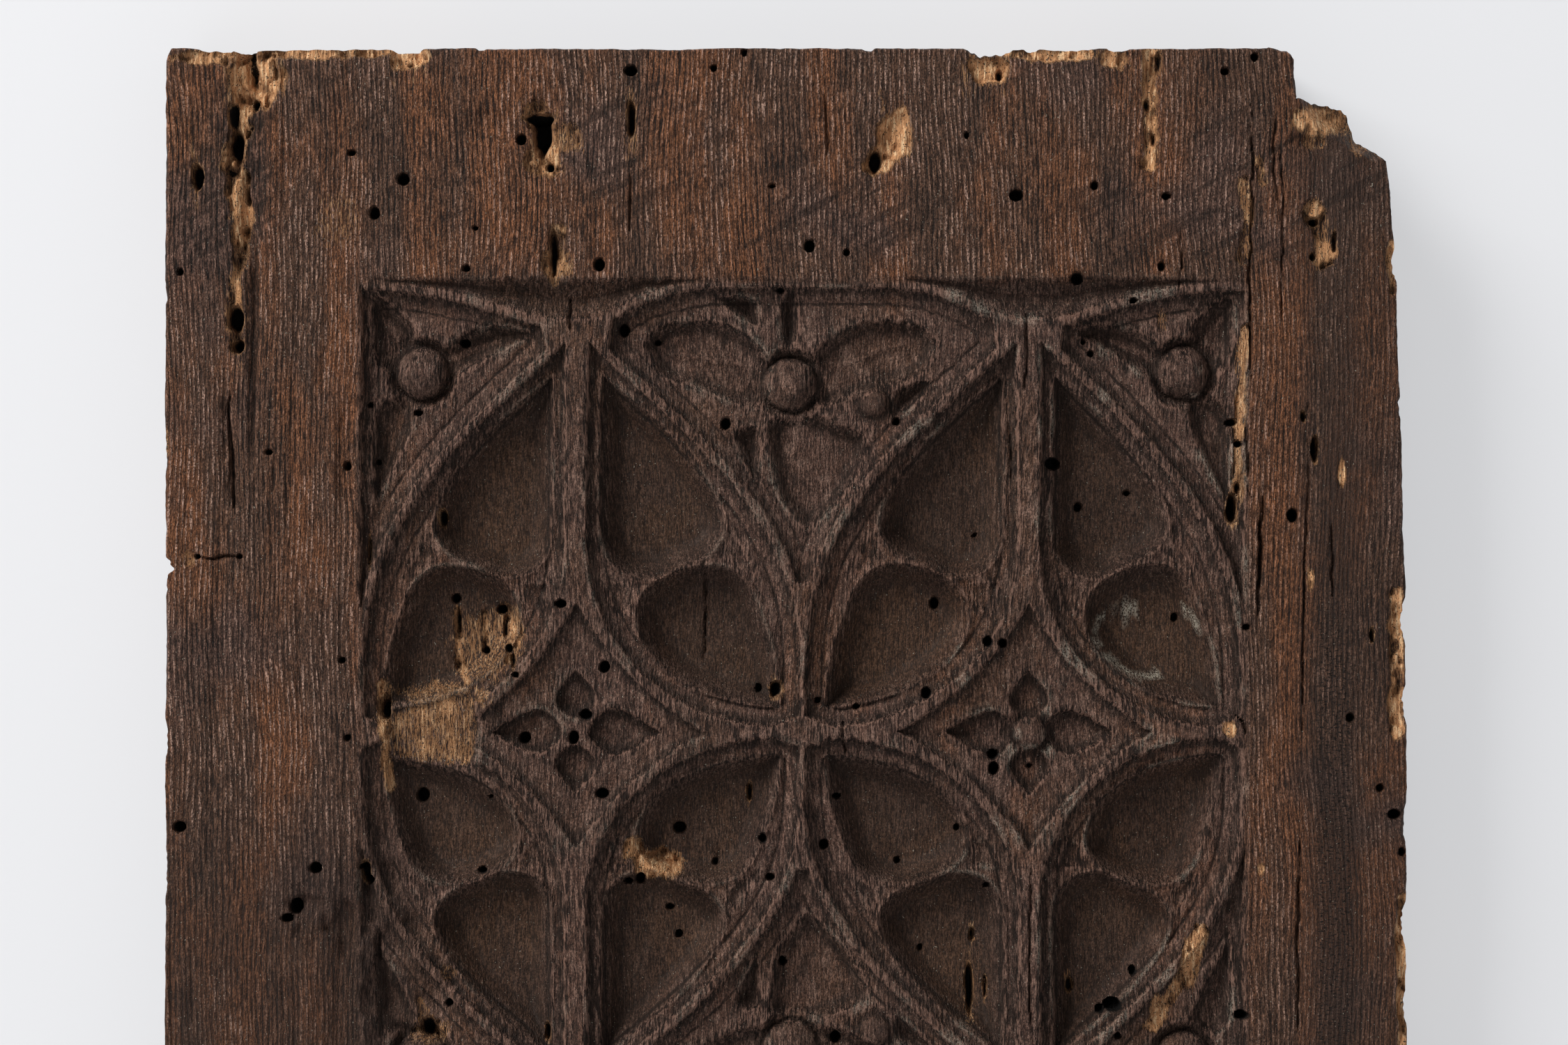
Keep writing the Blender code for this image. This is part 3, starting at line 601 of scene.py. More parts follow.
def middle_flower(quarter):
    """The flower between the ovals, in shares of a quarter beside it: heart, curled tip, petals, veins."""
    size = np.array((quarter.half, quarter.rise * quarter.height))

    def place(points):
        return np.array((SPINE_X, TRANSOM_Z)) + size * np.array(points, float)

    left = ((-0.71, 0.955), (-0.60, 1.005), (-0.37, 1.01), (-0.20, 0.965), (-0.13, 0.90),
            (-0.19, 0.80), (-0.44, 0.845), (-0.63, 0.88))
    right = [(-0.10 - x, z) for x, z in left]
    shield = ((0.02, 0.49), (-0.11, 0.585), (-0.14, 0.69), (-0.145, 0.765), (0.0, 0.79), (0.16, 0.765),
              (0.29, 0.725), (0.24, 0.63), (0.14, 0.555))
    above = ((-0.03, 1.09), (-0.09, 1.07), (-0.10, 0.99), (-0.06, 0.94), (-0.01, 0.99))
    above_left = ((-0.38, 1.07), (-0.28, 1.075), (-0.20, 1.06), (-0.19, 1.0), (-0.28, 1.02))
    leaflet = ((-0.205, 0.61), (-0.30, 0.72), (-0.25, 0.755), (-0.185, 0.745), (-0.18, 0.67))
    side_hollow = ((0.395, 0.765), (0.40, 0.83), (0.47, 0.857), (0.57, 0.86), (0.50, 0.805))
    outlines = (left, right, shield, above, above_left, leaflet, side_hollow)
    heart, curl = place([(-0.05, 0.856), (0.32, 0.81)])
    veins = [place(ends) for ends in (((-0.20, 0.90), (-0.60, 0.94)), ((0.12, 0.90), (0.50, 0.965)))]
    return heart, curl, [place(smooth_leaf(points)) for points in outlines], veins


def star_petals(mullion_x):
    """Four leaf-shaped hollows around the heart of a star, in shares of the ball's radius."""
    long = ((5.0, 0), (3.3, 1.05), (1.9, 1.3), (0.75, 0), (1.9, -1.3), (3.3, -1.05))
    short = ((0, 3.7), (1.05, 2.5), (1.15, 1.5), (0, 0.75), (-1.15, 1.5), (-1.05, 2.5))
    centre = np.array((mullion_x, TRANSOM_Z))
    petals = [smooth_leaf(points) * STAR_BALL_RADIUS for points in (long, short)]
    return [centre + turn * petal for petal in petals for turn in (1, -1)]


def cut_spandrel(relief, outline):
    """A sunk ground with a line scored along the foot of its hollow chamfer."""
    relief.sink(outline, SPANDREL_DEPTH, SPANDREL_WALL, cove, "ground")
    relief.score(outline, SPANDREL_WALL)


def cut_flower(relief, petals, veins, balls):
    """Hollow petals with ribs along their middles, around balls that are given by centre and radius."""
    for petal in petals:
        relief.sink(petal, PETAL_DEPTH, PETAL_WALL, dished)
    for vein in veins:
        relief.raise_vein(*vein)
    for ball in balls:
        relief.raise_ball(*ball)


def carve(relief):
    """All of the carver's cuts, from the widest to the finest."""
    low, high = (FIELD_LEFT, FIELD_BOTTOM), (FIELD_RIGHT, FIELD_TOP)
    relief.sink((low, (high[0], low[1]), high, (low[0], high[1])), FIELD_DEPTH, FIELD_WALL)
    for rise in (1, -1):
        pairs = [[Quarter(x, side, rise) for side in (-1, 1)] for x in MULLIONS]
        for left, right in pairs:
            relief.sink(lunette(left, right), LUNETTE_DEPTH, LUNETTE_WALL, dished, "ground")
        inner_left, inner_right = pairs[0][1], pairs[1][0]
        cut_spandrel(relief, middle_spandrel(inner_left, inner_right))
        heart, curl, petals, veins = middle_flower(inner_left)
        cut_flower(relief, petals, veins, ((curl, CURL_RADIUS), (heart, SPANDREL_BALL_RADIUS)))
        for outer in (pairs[0][0], pairs[1][1]):
            cut_spandrel(relief, outer.corner_spandrel())
            heart, petals, veins = outer.corner_flower()
            cut_flower(relief, petals, veins, ((heart, SPANDREL_BALL_RADIUS),))
        for quarter in (q for pair in pairs for q in pair):
            relief.sink(quarter.lights(), CHAMFER_DEPTH, CHAMFER_WALL, cove, "ground")
            for eye in quarter.eyes():
                relief.sink(eye, EYE_DEPTH, EYE_WALL)
            for lobe in quarter.lobes():
                relief.sink(lobe, LOBE_DEPTH, LOBE_WALL, dished, "floor")
                relief.bead(lobe)
            relief.score(quarter.lights(), CHAMFER_WALL)
    for x in MULLIONS:
        arms = [Quarter(x, side, rise).star_recess() for side, rise in ((1, 1), (1, -1), (-1, -1), (-1, 1))]
        star = np.vstack([arms[0], arms[1][::-1], arms[2], arms[3][::-1]])
        relief.sink(star, STAR_DEPTH, STAR_WALL, cove, "ground")
        for petal in star_petals(x):
            relief.sink(petal, STAR_PETAL_DEPTH, PETAL_WALL, cove)
    relief.raise_ball((MULLIONS[1], TRANSOM_Z), STAR_BALL_RADIUS)


def lose(relief):
    """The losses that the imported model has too: broken corner, lost bar, gallery and eroded corner."""
    ledge = ((-1.02, 0.05), (-1.02, -0.38), (-0.80, -0.72), (-0.55, -0.86), (-0.30, -1.02), (-0.10, -0.93),
             (0.1, 0.05))
    corner = [(RIGHT + x * BREAK_WIDTH, TOP + z * BREAK_HEIGHT) for x, z in ledge]
    relief.sink(corner, BREAK_FACE_DEPTH, LOSS_WALL * 2, mark="bared")

    quarter = Quarter(MULLIONS[0], -1, 1)
    bar = ((0.44, 0.02), (0.50, 0.105), (0.70, 0.085), (0.87, 0.05), (0.87, -0.07), (0.66, -0.085),
           (0.47, -0.08))
    relief.sink(quarter.place(quarter.shares(smooth_leaf(bar))), BAR_LOSS_DEPTH, LOSS_WALL, mark="bared")

    gallery = ((0.47, -0.98), (0.42, -0.72), (0.42, -0.48), (0.37, -0.34), (0.40, -0.18), (0.47, -0.03),
               (0.56, -0.20), (0.53, -0.45), (0.51, -0.70))
    track = smooth_leaf(gallery) * (BORDER_LEFT, BORDER_TOP * 2) + (LEFT, TOP)
    relief.sink(track, GALLERY_DEPTH, LOSS_WALL)

    eroded = ((0.92, -0.22), (1.12, -0.50), (1.38, -0.82), (1.42, -1.04), (1.12, -1.06), (0.82, -0.95),
              (0.76, -0.70), (0.84, -0.45))
    patch = smooth_leaf(eroded) * (BORDER_LEFT, LOWER_SIDE) + (LEFT, TRANSOM_Z)
    relief.sink(patch, CORNER_EROSION_DEPTH, LOSS_WALL * 4)


def moving_mean(field, reach, axis):
    """The mean over a window of reach cells to either side along one axis."""
    pads = [(0, 0), (0, 0)]
    pads[axis] = (reach + 1, reach)
    total = np.cumsum(np.pad(field, pads, mode="edge"), axis=axis)
    count = field.shape[axis]
    width = 2 * reach + 1
    high = np.take(total, np.arange(width, width + count), axis=axis)
    low = np.take(total, np.arange(count), axis=axis)
    return (high - low) / width


def blurred(field, radius):
    """The field softened over a radius."""
    reach = max(1, round(radius / STEP))
    for axis in (0, 1, 0, 1):
        field = moving_mean(field, reach, axis)
    return field


class Face:
    """The finished front as rasters over the board's box, which any point can be read from."""

    def __init__(self):
        self.xs = np.arange(LEFT - 2 * STEP, RIGHT + 3 * STEP, STEP)
        self.zs = np.arange(BOTTOM - 2 * STEP, TOP + 3 * STEP, STEP)
        self.x, self.z = np.meshgrid(self.xs, self.zs, indexing="ij")
        self.masks = {}

    def read(self, field, x, z):
        """The raster's value at any points, between its cells."""
        u = np.clip((x - self.xs[0]) / STEP, 0, len(self.xs) - 1.001)
        v = np.clip((z - self.zs[0]) / STEP, 0, len(self.zs) - 1.001)
        i, j = u.astype(int), v.astype(int)
        return between_cells(field, (i, i + 1, u - i), (j, j + 1, v - j))

    def between(self, low, high):
        """The part of the raster between two corners."""
        columns = np.searchsorted(self.xs, (low[0], high[0]))
        rows = np.searchsorted(self.zs, (low[1], high[1]))
        return slice(*columns), slice(*rows)

    def window(self, across, down, half_width, half_height):
        """The raster around an ellipse on the photograph, and how far inside it lies, 1 at the middle."""
        centre = np.array(from_photo(across, down))
        half = np.array((half_width, half_height)) * PIXEL
        area = self.between(centre - half * WINDOW_MARGIN, centre + half * WINDOW_MARGIN)
        return area, 1 - np.hypot((self.x[area] - centre[0]) / half[0], (self.z[area] - centre[1]) / half[1])

    def stain(self, name, area, amount):
        """Raises a mask to an amount over part of the raster."""
        self.masks[name][area] = np.maximum(self.masks[name][area], amount)

    def carve(self):
        """The tracery, drawn by a hand that wavers a little, then softened by age."""
        x, z = self.x, self.z
        waver_x = WAVER * mottle(x, z, 15 * MM, 17 * MM, Seed.WAVER)
        waver_x += FINE_WAVER * mottle(x, z, 4 * MM, 6 * MM, Seed.FINE_WAVER)
        calm_z = z + WAVER * mottle(x, z, 16 * MM, 15 * MM, Seed.UPWARD_WAVER)
        teeth = mottle(x, z, 1.1 * MM, 7 * MM, Seed.TEETH)
        teeth *= 0.7 + 0.7 * mottle(x, z, 12 * MM, 12 * MM, Seed.TEETH_CLUSTERS)
        torn_z = calm_z + TEETH_LENGTH * teeth
        relief = Relief((x + waver_x).ravel(), torn_z.ravel(), calm_z.ravel())
        carve(relief)
        lose(relief)
        self.depth = relief.depth.reshape(x.shape)
        for name in ("floor", "ground"):
            self.masks[name] = blurred(relief.marks[name].reshape(x.shape), 0.5 * MM)
        for name in ("rim", "line", "bared"):
            self.masks[name] = np.clip(relief.marks[name], 0, 1).reshape(x.shape)
        self.masks["carved"] = np.ones_like(x)
        for place, low, high in ((x, FIELD_LEFT, FIELD_RIGHT), (z, FIELD_BOTTOM, FIELD_TOP)):
            self.masks["carved"] *= smooth_step(place, low - 1 * MM, low + 2 * MM)
            self.masks["carved"] *= smooth_step(-place, -high - 1 * MM, -high + 2 * MM)

    def wear(self):
        """Soft crests, tool marks in the hollows and grain that has weathered proud."""
        x, z, carved, floor = self.x, self.z, self.masks["carved"], self.masks["floor"]
        soft = blurred(self.depth, 0.35 * MM)
        softness = 0.05 + 0.3 * mottle(x, z, 7 * MM, 11 * MM, Seed.SOFTNESS)
        self.depth += (soft - self.depth) * np.clip(softness, 0, 1)

        crest = np.clip((blurred(self.depth, 1.6 * MM) - self.depth) / (1.2 * MM), 0, 1) * carved
        self.depth += crest * CREST_LOSS * np.clip(0.1 + rough(x, z, 3 * MM, Seed.CREST_WEAR, 2.5), 0, 1)

        gouge = rough(x, z, 3.6 * MM, Seed.GOUGES, 1.6)
        self.depth += GOUGE_DEPTH * gouge * self.masks.pop("ground") * (1 - floor)
        self.depth += FLOOR_MARK_DEPTH * rough(x, z, 5 * MM, Seed.FLOOR_MARKS, 2.0) * floor

        bend = GRAIN_SWAY * mottle(x, z, 45 * MM, 80 * MM, Seed.GRAIN_BEND)
        ridges = mottle(x + bend, z, 2.9 * MM, 60 * MM, Seed.RIDGES)
        left_strip = smooth_step(-x, -FIELD_LEFT - 4 * MM, -FIELD_LEFT + 6 * MM)
        grooves = smooth_step(mottle(x + bend, z, 1.5 * MM, 34 * MM, Seed.GROOVES), 0.45, 0.8)
        grain = GRAIN_HEIGHT * ridges + GROOVE_DEPTH * grooves * (0.35 + left_strip)
        self.depth += grain * (1 - 0.6 * carved)
        worn = 0.5 + 0.5 * mottle(x, z, 30 * MM, 50 * MM, Seed.WORN_BORDER)
        self.depth += BORDER_WEAR * worn * (1 - carved)

    def damage(self):
        """Rot, chips, gnawed tracks, open galleries, beetle holes and cracks, with what each bares, and
        painted shade inside the holes, galleries, cracks and deepest gnawed hollows.
        """
        fibres = rough(self.x, self.z, 0.9 * MM, Seed.FIBRES, 9.0)
        ragged = rough(self.x, self.z, 2.2 * MM, Seed.RAGGED, 1.8)
        for name in ("pale", "cavity_shade"):
            self.masks[name] = np.zeros_like(self.depth)

        for *spot, depth in ROTTEN_PATCHES:
            area, inside = self.window(*spot)
            share = smooth_step(inside + 0.45 * ragged[area], 0.0, 0.55)
            hollow = share * (0.65 + 0.5 * rough(self.x[area], self.z[area], 3 * MM, Seed.ROT, 2.2))
            self.depth[area] += depth * MM * np.clip(hollow, 0, 1.2)

        for *spot, depth, paleness in CHIPS:
            area, inside = self.window(*spot)
            reach = inside + 0.42 * ragged[area] + 0.16 * fibres[area]
            share = smooth_step(reach, 0.0, 0.28)
            pits = rough(self.x[area], self.z[area], 1.7 * MM, Seed.CHIP_PITS, 1.6)
            pits = smooth_step(pits, 0.15, 0.5) * share
            self.depth[area] += depth * MM * (share * (0.8 + 0.35 * fibres[area]) + 0.6 * pits)
            self.stain("pale", area, paleness * smooth_step(reach, -0.25, 0.35) * (1 - 0.35 * pits))

        for half_width, depth, paleness, *pixels in GNAWED_TRACKS:
            area, nearest, _ = self.beside(pixels, half_width * PIXEL * 1.8)
            reach = 1 - nearest / (half_width * PIXEL) + 0.6 * ragged[area] + 0.2 * fibres[area]
            share = smooth_step(reach, 0.0, 0.45)
            hollows = rough(self.x[area], self.z[area], 2.1 * MM, Seed.GNAWING, 1.9)
            hollows = smooth_step(hollows, -0.1, 0.45)
            self.depth[area] += depth * MM * share * (0.3 + 0.9 * hollows)
            self.stain("pale", area, paleness * smooth_step(reach, -0.2, 0.4) * (1 - 0.5 * hollows))
            # The deepest gnawed hollows get painted shade
            self.stain("cavity_shade", area, 0.6 * share * smooth_step(hollows, 0.8, 1.0) * min(depth / 3, 1))

        for across, down, half_width, half_height, depth in OPEN_GALLERIES:
            area, inside = self.window(across, down, half_width, half_height)
            reach = inside + 0.38 * ragged[area] + 0.12 * fibres[area]
            self.depth[area] += depth * MM * smooth_step(reach, 0.0, 0.4)
            # Painted shade inside the opened gallery
            self.stain("cavity_shade", area, ramped((reach - 0.2) * half_width * PIXEL))
            self.stain("pale", area, 0.5 * smooth_step(reach, -0.5, 0.0))

        for number, (across, down, radius) in enumerate(BEETLE_HOLES):
            lean = 1.0 + 0.16 * math.sin(number * 2.4)
            area, inside = self.window(across, down, radius / lean, radius * lean)
            reach = inside + 0.10 * ragged[area]
            self.depth[area] += (2.2 + 0.28 * radius) * MM * smooth_step(reach, 0.0, 0.30)
            # Painted shade inside the hole
            self.stain("cavity_shade", area, ramped(reach * radius * PIXEL))

        for width, depth, *pixels in CRACKS:
            self.split(width * MM, depth * MM, pixels)

        grain_of_break = 0.75 + 0.4 * fibres + 0.35 * ragged
        whole = (slice(None), slice(None))
        self.stain("pale", whole, np.clip(self.masks.pop("bared") * grain_of_break, 0, 1) * 0.72)

    def beside(self, pixels, margin):
        """The raster around a run of pixels, how far off the run it lies and how far along, as a share."""
        run = np.array([from_photo(*pixel) for pixel in pixels])
        lengths = lengths_along(run)
        area = self.between(run.min(axis=0) - margin, run.max(axis=0) + margin)
        x, z = self.x[area], self.z[area]
        x = x + 0.25 * MM * mottle(x, z, 2 * MM, 3 * MM, Seed.RUN_WAVER)
        nearest = np.full(x.shape, np.inf)
        reached = np.zeros(x.shape)
        for start, end, before, after in zip(run, run[1:], lengths, lengths[1:]):
            away, share = from_segment(x, z, start, end)
            closer = away < nearest
            nearest[closer] = away[closer]
            reached[closer] = before + share[closer] * (after - before)
        return area, nearest, reached / lengths[-1]

    def split(self, width, depth, pixels):
        """One crack through a run of pixels, thinning out towards both ends."""
        area, nearest, share = self.beside(pixels, 3 * width)
        opening = width * np.sin(np.clip(share, 0.02, 0.98) * math.pi) ** 0.4
        cut = smooth_step(opening - nearest, 0.0, width * 0.6)
        self.depth[area] += depth * cut
        # Painted shade inside the crack
        self.stain("cavity_shade", area, ramped(0.6 * opening - nearest))

    def read_form(self):
        """The crests, where highlight is painted, and the hollows, where shade is painted, from how the
        carved face bends.
        """
        bend = (blurred(self.depth, 0.9 * MM) - self.depth) / (0.7 * MM)
        self.masks["crest"] = np.clip(bend, -1, 1)
        lean = np.hypot(*np.gradient(blurred(self.depth, 0.6 * MM), STEP))
        self.masks["slope"] = np.clip(lean, 0, 1)
        x, z = self.x, self.z
        self.masks["crust"] = np.zeros_like(x)
        for pixels in CRUST_RUNS:
            area, nearest, _ = self.beside(pixels, 2 * CRUST_WIDTH)
            width = CRUST_WIDTH * (0.55 + 0.6 * rough(x[area], z[area], 2.5 * MM, Seed.CRUST_BREADTH))
            self.stain("crust", area, smooth_step(width - nearest, 0.0, 0.3 * MM))
        edge = smooth_step(self.masks["rim"], 0.5, 0.8) * smooth_step(self.masks["crest"], 0.1, 0.4)
        edge *= self.masks["carved"] * smooth_step(rough(x, z, 6 * MM, Seed.CRUST_PLACES, 1.5), 0.05, 0.4)
        edge *= 0.5 + 0.5 * smooth_step(x, MULLIONS[1] - 46 * MM, MULLIONS[1] - 10 * MM)
        self.masks["crust"] = np.clip(self.masks["crust"] + 0.6 * edge, 0, 1)


def nicked(positions, notches, vertical):
    """How far an edge falls back at its positions: a fine unevenness and the notches that the photo shows."""
    back = 0.12 * MM * (1 + mottle(positions, positions, 3.0 * MM, 3.0 * MM, Seed.EDGE_FINE + vertical))
    back += 0.18 * MM * (1 + mottle(positions, positions, 14 * MM, 14 * MM, Seed.EDGE_LONG + vertical))
    back += 0.10 * MM * np.abs(mottle(positions, positions, 0.8 * MM, 0.8 * MM, Seed.EDGE_TEETH + vertical))
    for pixel, half_length, depth in notches:
        place = from_photo(pixel, pixel)[vertical]
        share = 1 - np.abs(positions - place) / (half_length * PIXEL)
        ragged = 1 + 0.5 * mottle(positions, positions, 1.2 * MM, 1.2 * MM, Seed.NOTCHES + vertical)
        back += depth * PIXEL * smooth_step(share, 0.0, 0.6) * ragged
    return back


def top_edge():
    """The board's top edge, from its worn left corner to the end of the broken right one."""
    steps = ((-1.23, 0), (-1.07, -0.04), (-1.0, -0.10), (-0.995, -0.44), (-0.83, -0.48), (-0.62, -0.50),
             (-0.51, -0.56), (-0.43, -0.83), (-0.28, -0.91), (-0.19, -1.0))
    broken = np.array([(RIGHT + x * BREAK_WIDTH, TOP + z * BREAK_HEIGHT) for x, z in steps])
    start = LEFT + CORNER_WEAR
    x = np.linspace(start, broken[0, 0], EDGE_POINTS)[:-1]
    sound = np.column_stack([x, TOP - nicked(x, TOP_NOTCHES, 0)])
    broken = along(broken, BREAK_POINTS)
    torn = mottle(broken[:, 0], broken[:, 1], 0.9 * MM, 0.9 * MM, Seed.TORN_BREAK)
    torn = 0.45 * MM * torn * np.sin(np.linspace(0, math.pi, len(broken))) ** 0.5
    broken = offset_line(broken, 1.0) * torn[:, None] + broken * (1 - torn[:, None])
    return np.vstack([sound, broken])


def left_edge(high):
    """The left edge up to a height, rounded off into the worn corner."""
    share = np.linspace(0, 1, EDGE_POINTS)
    z = BOTTOM + (high - BOTTOM) * share
    corner = CORNER_WEAR * np.clip((share - (1 - CORNER_SHARE)) / CORNER_SHARE, 0, 1) ** 2
    back = nicked(z, LEFT_NOTCHES, 1) * np.clip((1 - share) / CORNER_SHARE, 0, 1)
    return np.column_stack([LEFT + back + corner, z])


def right_edge(low, high):
    """The right edge, worn back more and more towards the broken corner."""
    share = np.linspace(0, 1, EDGE_POINTS)
    z = low + (high[1] - low) * share
    worn = np.interp(share, (0, 0.62, 0.915, 0.983, 1), (0, 0, 0.51, 0.77, 1))
    back = nicked(z, RIGHT_NOTCHES, 1) * np.clip((1 - share) / CORNER_SHARE, 0, 1)
    return np.column_stack([RIGHT - (RIGHT - high[0]) * worn - back, z])


def along(line, count):
    """Points at equal steps along a line."""
    reached = lengths_along(line)
    stops = np.linspace(0, reached[-1], count)
    return np.column_stack([np.interp(stops, reached, line[:, 0]), np.interp(stops, reached, line[:, 1])])


def panel_grid():
    """A grid of points that fills the board's worn outline, as x and z arrays of one row for each column."""
    columns = round((RIGHT - LEFT) / MESH_STEP)
    rows = round((TOP - BOTTOM) / MESH_STEP)
    top = along(top_edge(), columns)
    left = along(left_edge(top[0, 1]), rows)
    right = along(right_edge(BOTTOM, top[-1]), rows)
    left[-1], right[-1] = top[0], top[-1]
    share = np.linspace(0, 1, columns)
    x = left[0, 0] + share * (right[0, 0] - left[0, 0])
    saw_cut = 0.2 * MM * (1 + mottle(x, x, 4 * MM, 4 * MM, Seed.SAW_CUT)) * np.sin(share * math.pi) ** 0.3
    bottom = np.column_stack([x, BOTTOM + saw_cut])
    u = share[:, None, None]
    v = np.linspace(0, 1, rows)[None, :, None]
    across = (1 - u) * left[None] + u * right[None]
    upwards = (1 - v) * bottom[:, None] + v * top[:, None]
    lower_corners = (1 - u) * bottom[0] + u * bottom[-1]
    upper_corners = (1 - u) * top[0] + u * top[-1]
    grid = across + upwards - (1 - v) * lower_corners - v * upper_corners
    return grid[..., 0], grid[..., 1]


def edge_distance(shape):
    """How many grid steps each point lies from the board's edge, as a length."""
    column = np.arange(shape[0])[:, None]
    row = np.arange(shape[1])[None, :]
    across = np.minimum(column, shape[0] - 1 - column)
    upwards = np.minimum(row, shape[1] - 1 - row)
    return np.minimum(across, upwards) * MESH_STEP


def side_rings(x, z, front, back):
    """The rings of points down the board's sides, worn inwards along the grain and across the end grain."""
    ahead, behind = np.roll(np.arange(len(x)), -3), np.roll(np.arange(len(x)), 3)
    tangent = np.column_stack([x[ahead] - x[behind], z[ahead] - z[behind]])
    tangent /= np.maximum(np.linalg.norm(tangent, axis=1), 1e-9)[:, None]
    outward = np.column_stack([tangent[:, 1], -tangent[:, 0]])
    upright = np.abs(outward[:, 0]) > 0.7
    rings = []
    for row in range(1, SIDE_ROWS):
        share = row / SIDE_ROWS
        y = front + (back - front) * share
        long_grain = rough(y, z, 1.6 * MM, Seed.LONG_GRAIN, 18.0)
        end_grain = rough(x, y, 1.4 * MM, Seed.END_GRAIN, 4.0)
        worn = 0.22 * MM * (1 + np.where(upright, long_grain, end_grain))
        worn += 0.3 * MM * (1 + mottle(x + z, y, 9 * MM, 7 * MM, Seed.SIDE_WEAR)) * math.sin(share * math.pi)
        rings.append(np.column_stack([x - outward[:, 0] * worn, y, z - outward[:, 1] * worn]))
    return rings


def new_object(name, data):
    """An object of its own in the scene."""
    made = bpy.data.objects.new(name, data)
    bpy.context.scene.collection.objects.link(made)
    return made


def plain_mesh(name, points, quads):
    """A mesh of four-sided faces from arrays."""
    mesh = bpy.data.meshes.new(name)
    mesh.vertices.add(len(points))
    mesh.vertices.foreach_set("co", points.astype(np.float32).ravel())
    mesh.loops.add(quads.size)
    mesh.loops.foreach_set("vertex_index", quads.astype(np.int32).ravel())
    mesh.polygons.add(len(quads))
    mesh.polygons.foreach_set("loop_start", np.arange(0, quads.size, 4, dtype=np.int32))
    mesh.update(calc_edges=True)
    return mesh


def board_mesh(face):
    """The closed board at full fineness: carved front, ragged sides and a roughly planed back."""
    x, z = panel_grid()
    edge = edge_distance(x.shape)
    depth = face.read(face.depth, x, z)
    arris = EDGE_ROUNDING * (0.7 + 0.5 * mottle(x, z, 8 * MM, 8 * MM, Seed.ARRIS))
    depth = np.maximum(depth, arris * (1 - np.clip(edge / arris, 0, 1)) ** 2)
    planing = 0.3 * MM * (1 + mottle(x, z, 16 * MM, 42 * MM, Seed.PLANING))
    back_arris = 0.8 * MM * (1 - np.clip(edge / (0.8 * MM), 0, 1)) ** 2
    front_y = -(THICKNESS - depth)
    back_y = -(planing * smooth_step(edge, 0.0, 3 * MM) + back_arris)

    index = np.arange(x.size).reshape(x.shape)
    quads = np.stack([index[:-1, :-1], index[1:, :-1], index[1:, 1:], index[:-1, 1:]], axis=-1).reshape(-1, 4)
    rim = np.concatenate([index[:, 0], index[-1, 1:], index[-2::-1, -1], index[0, -2:0:-1]])
    flat = (x.ravel(), z.ravel(), front_y.ravel(), back_y.ravel())
    rings = side_rings(*(values[rim] for values in flat))
    first = 2 * x.size
    ring_index = [rim, *(first + k * len(rim) + np.arange(len(rim)) for k in range(len(rings))), rim + x.size]
    sides = [np.column_stack([far, np.roll(far, -1), np.roll(near, -1), near])
             for near, far in zip(ring_index, ring_index[1:])]
    points = np.vstack([
        np.column_stack([flat[0], flat[2], flat[1]]),
        np.column_stack([flat[0], flat[3], flat[1]]),
        *rings,
    ])
    return plain_mesh("board_full", points, np.vstack([quads, quads[:, ::-1] + x.size, *sides]))


def thinned(mesh, name, triangles):
    """The mesh with fewer faces, kept where the form needs them."""
    work = new_object("board_work", mesh)
    thin = work.modifiers.new("thin", "DECIMATE")
    thin.decimate_type = "COLLAPSE"
    thin.use_collapse_triangulate = True
    thin.ratio = triangles / (2 * len(mesh.polygons))
    evaluated = work.evaluated_get(bpy.context.evaluated_depsgraph_get())
    result = bpy.data.meshes.new_from_object(evaluated)
    bpy.data.objects.remove(work)
    bpy.data.meshes.remove(mesh)
    result.name = name
    return result


# The masks that the material reads, three to an attribute; the wear set holds the painted shade of holes and
# cracks beside the pale and crust masks
MASK_SETS = {
    "form": ("carved", "floor", "slope"),
    "edges": ("crest", "rim", "line"),
    "wear": ("pale", "cavity_shade", "crust"),
}


def paint_masks(mesh, face):
    """Writes each mask onto the mesh's points, on the carved side only."""
    points = np.empty(len(mesh.vertices) * 3, np.float32)
    mesh.vertices.foreach_get("co", points)
    x, y, z = points.reshape(-1, 3).T.astype(float)
    fronting = smooth_step(-y, 4 * MM, 8 * MM)
    for name, fields in MASK_SETS.items():
        values = np.column_stack([face.read(face.masks[field], x, z) * fronting for field in fields])
        attribute = mesh.attributes.new(name, "FLOAT_VECTOR", "POINT")
        attribute.data.foreach_set("vector", values.astype(np.float32).ravel())


def board_piece(face, material):
    """The whole board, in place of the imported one."""
    mesh = thinned(board_mesh(face), "old_board", TARGET_TRIANGLES)
    paint_masks(mesh, face)
    mesh.shade_smooth()
    mesh.set_sharp_from_angle(angle=SHARP_EDGE)
    mesh.materials.clear()
    mesh.materials.append(material)
    board = new_object("old_board", mesh)
    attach(board, "root")
    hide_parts("carved_panel")


def paint(red, green, blue):
    """A colour as a screen shows it, in the shader's own linear values."""
    linear = [c / 255 / 12.92 if c <= 10 else ((c / 255 + 0.055) / 1.055) ** 2.4 for c in (red, green, blue)]
    return (*linear, 1.0)


# The oak's colours. The soot brown also paints shade on steep carved walls and in hollows, the crest grey
# also paints highlights on crests, and the near black paints the shade inside holes and cracks
RUST, UMBER, MAUVE = paint(104, 66, 43), paint(78, 55, 42), paint(78, 57, 48)
GREY_RIDGE, CREST_GREY_AND_HIGHLIGHT = paint(146, 118, 104), paint(130, 99, 85)
FURROW, SOOT_AND_SHADE, BURNT = paint(24, 16, 12), paint(33, 24, 19), paint(44, 33, 28)
FLOOR_BROWN, FLOOR_RUST = paint(50, 35, 26), paint(60, 42, 30)
TAN, TAN_LIGHT, TAN_DEEP = paint(200, 148, 104), paint(236, 200, 156), paint(98, 62, 38)
OCHRE, HOLE_SHADE, CRUST = paint(130, 94, 64), paint(8, 6, 5), paint(168, 160, 144)

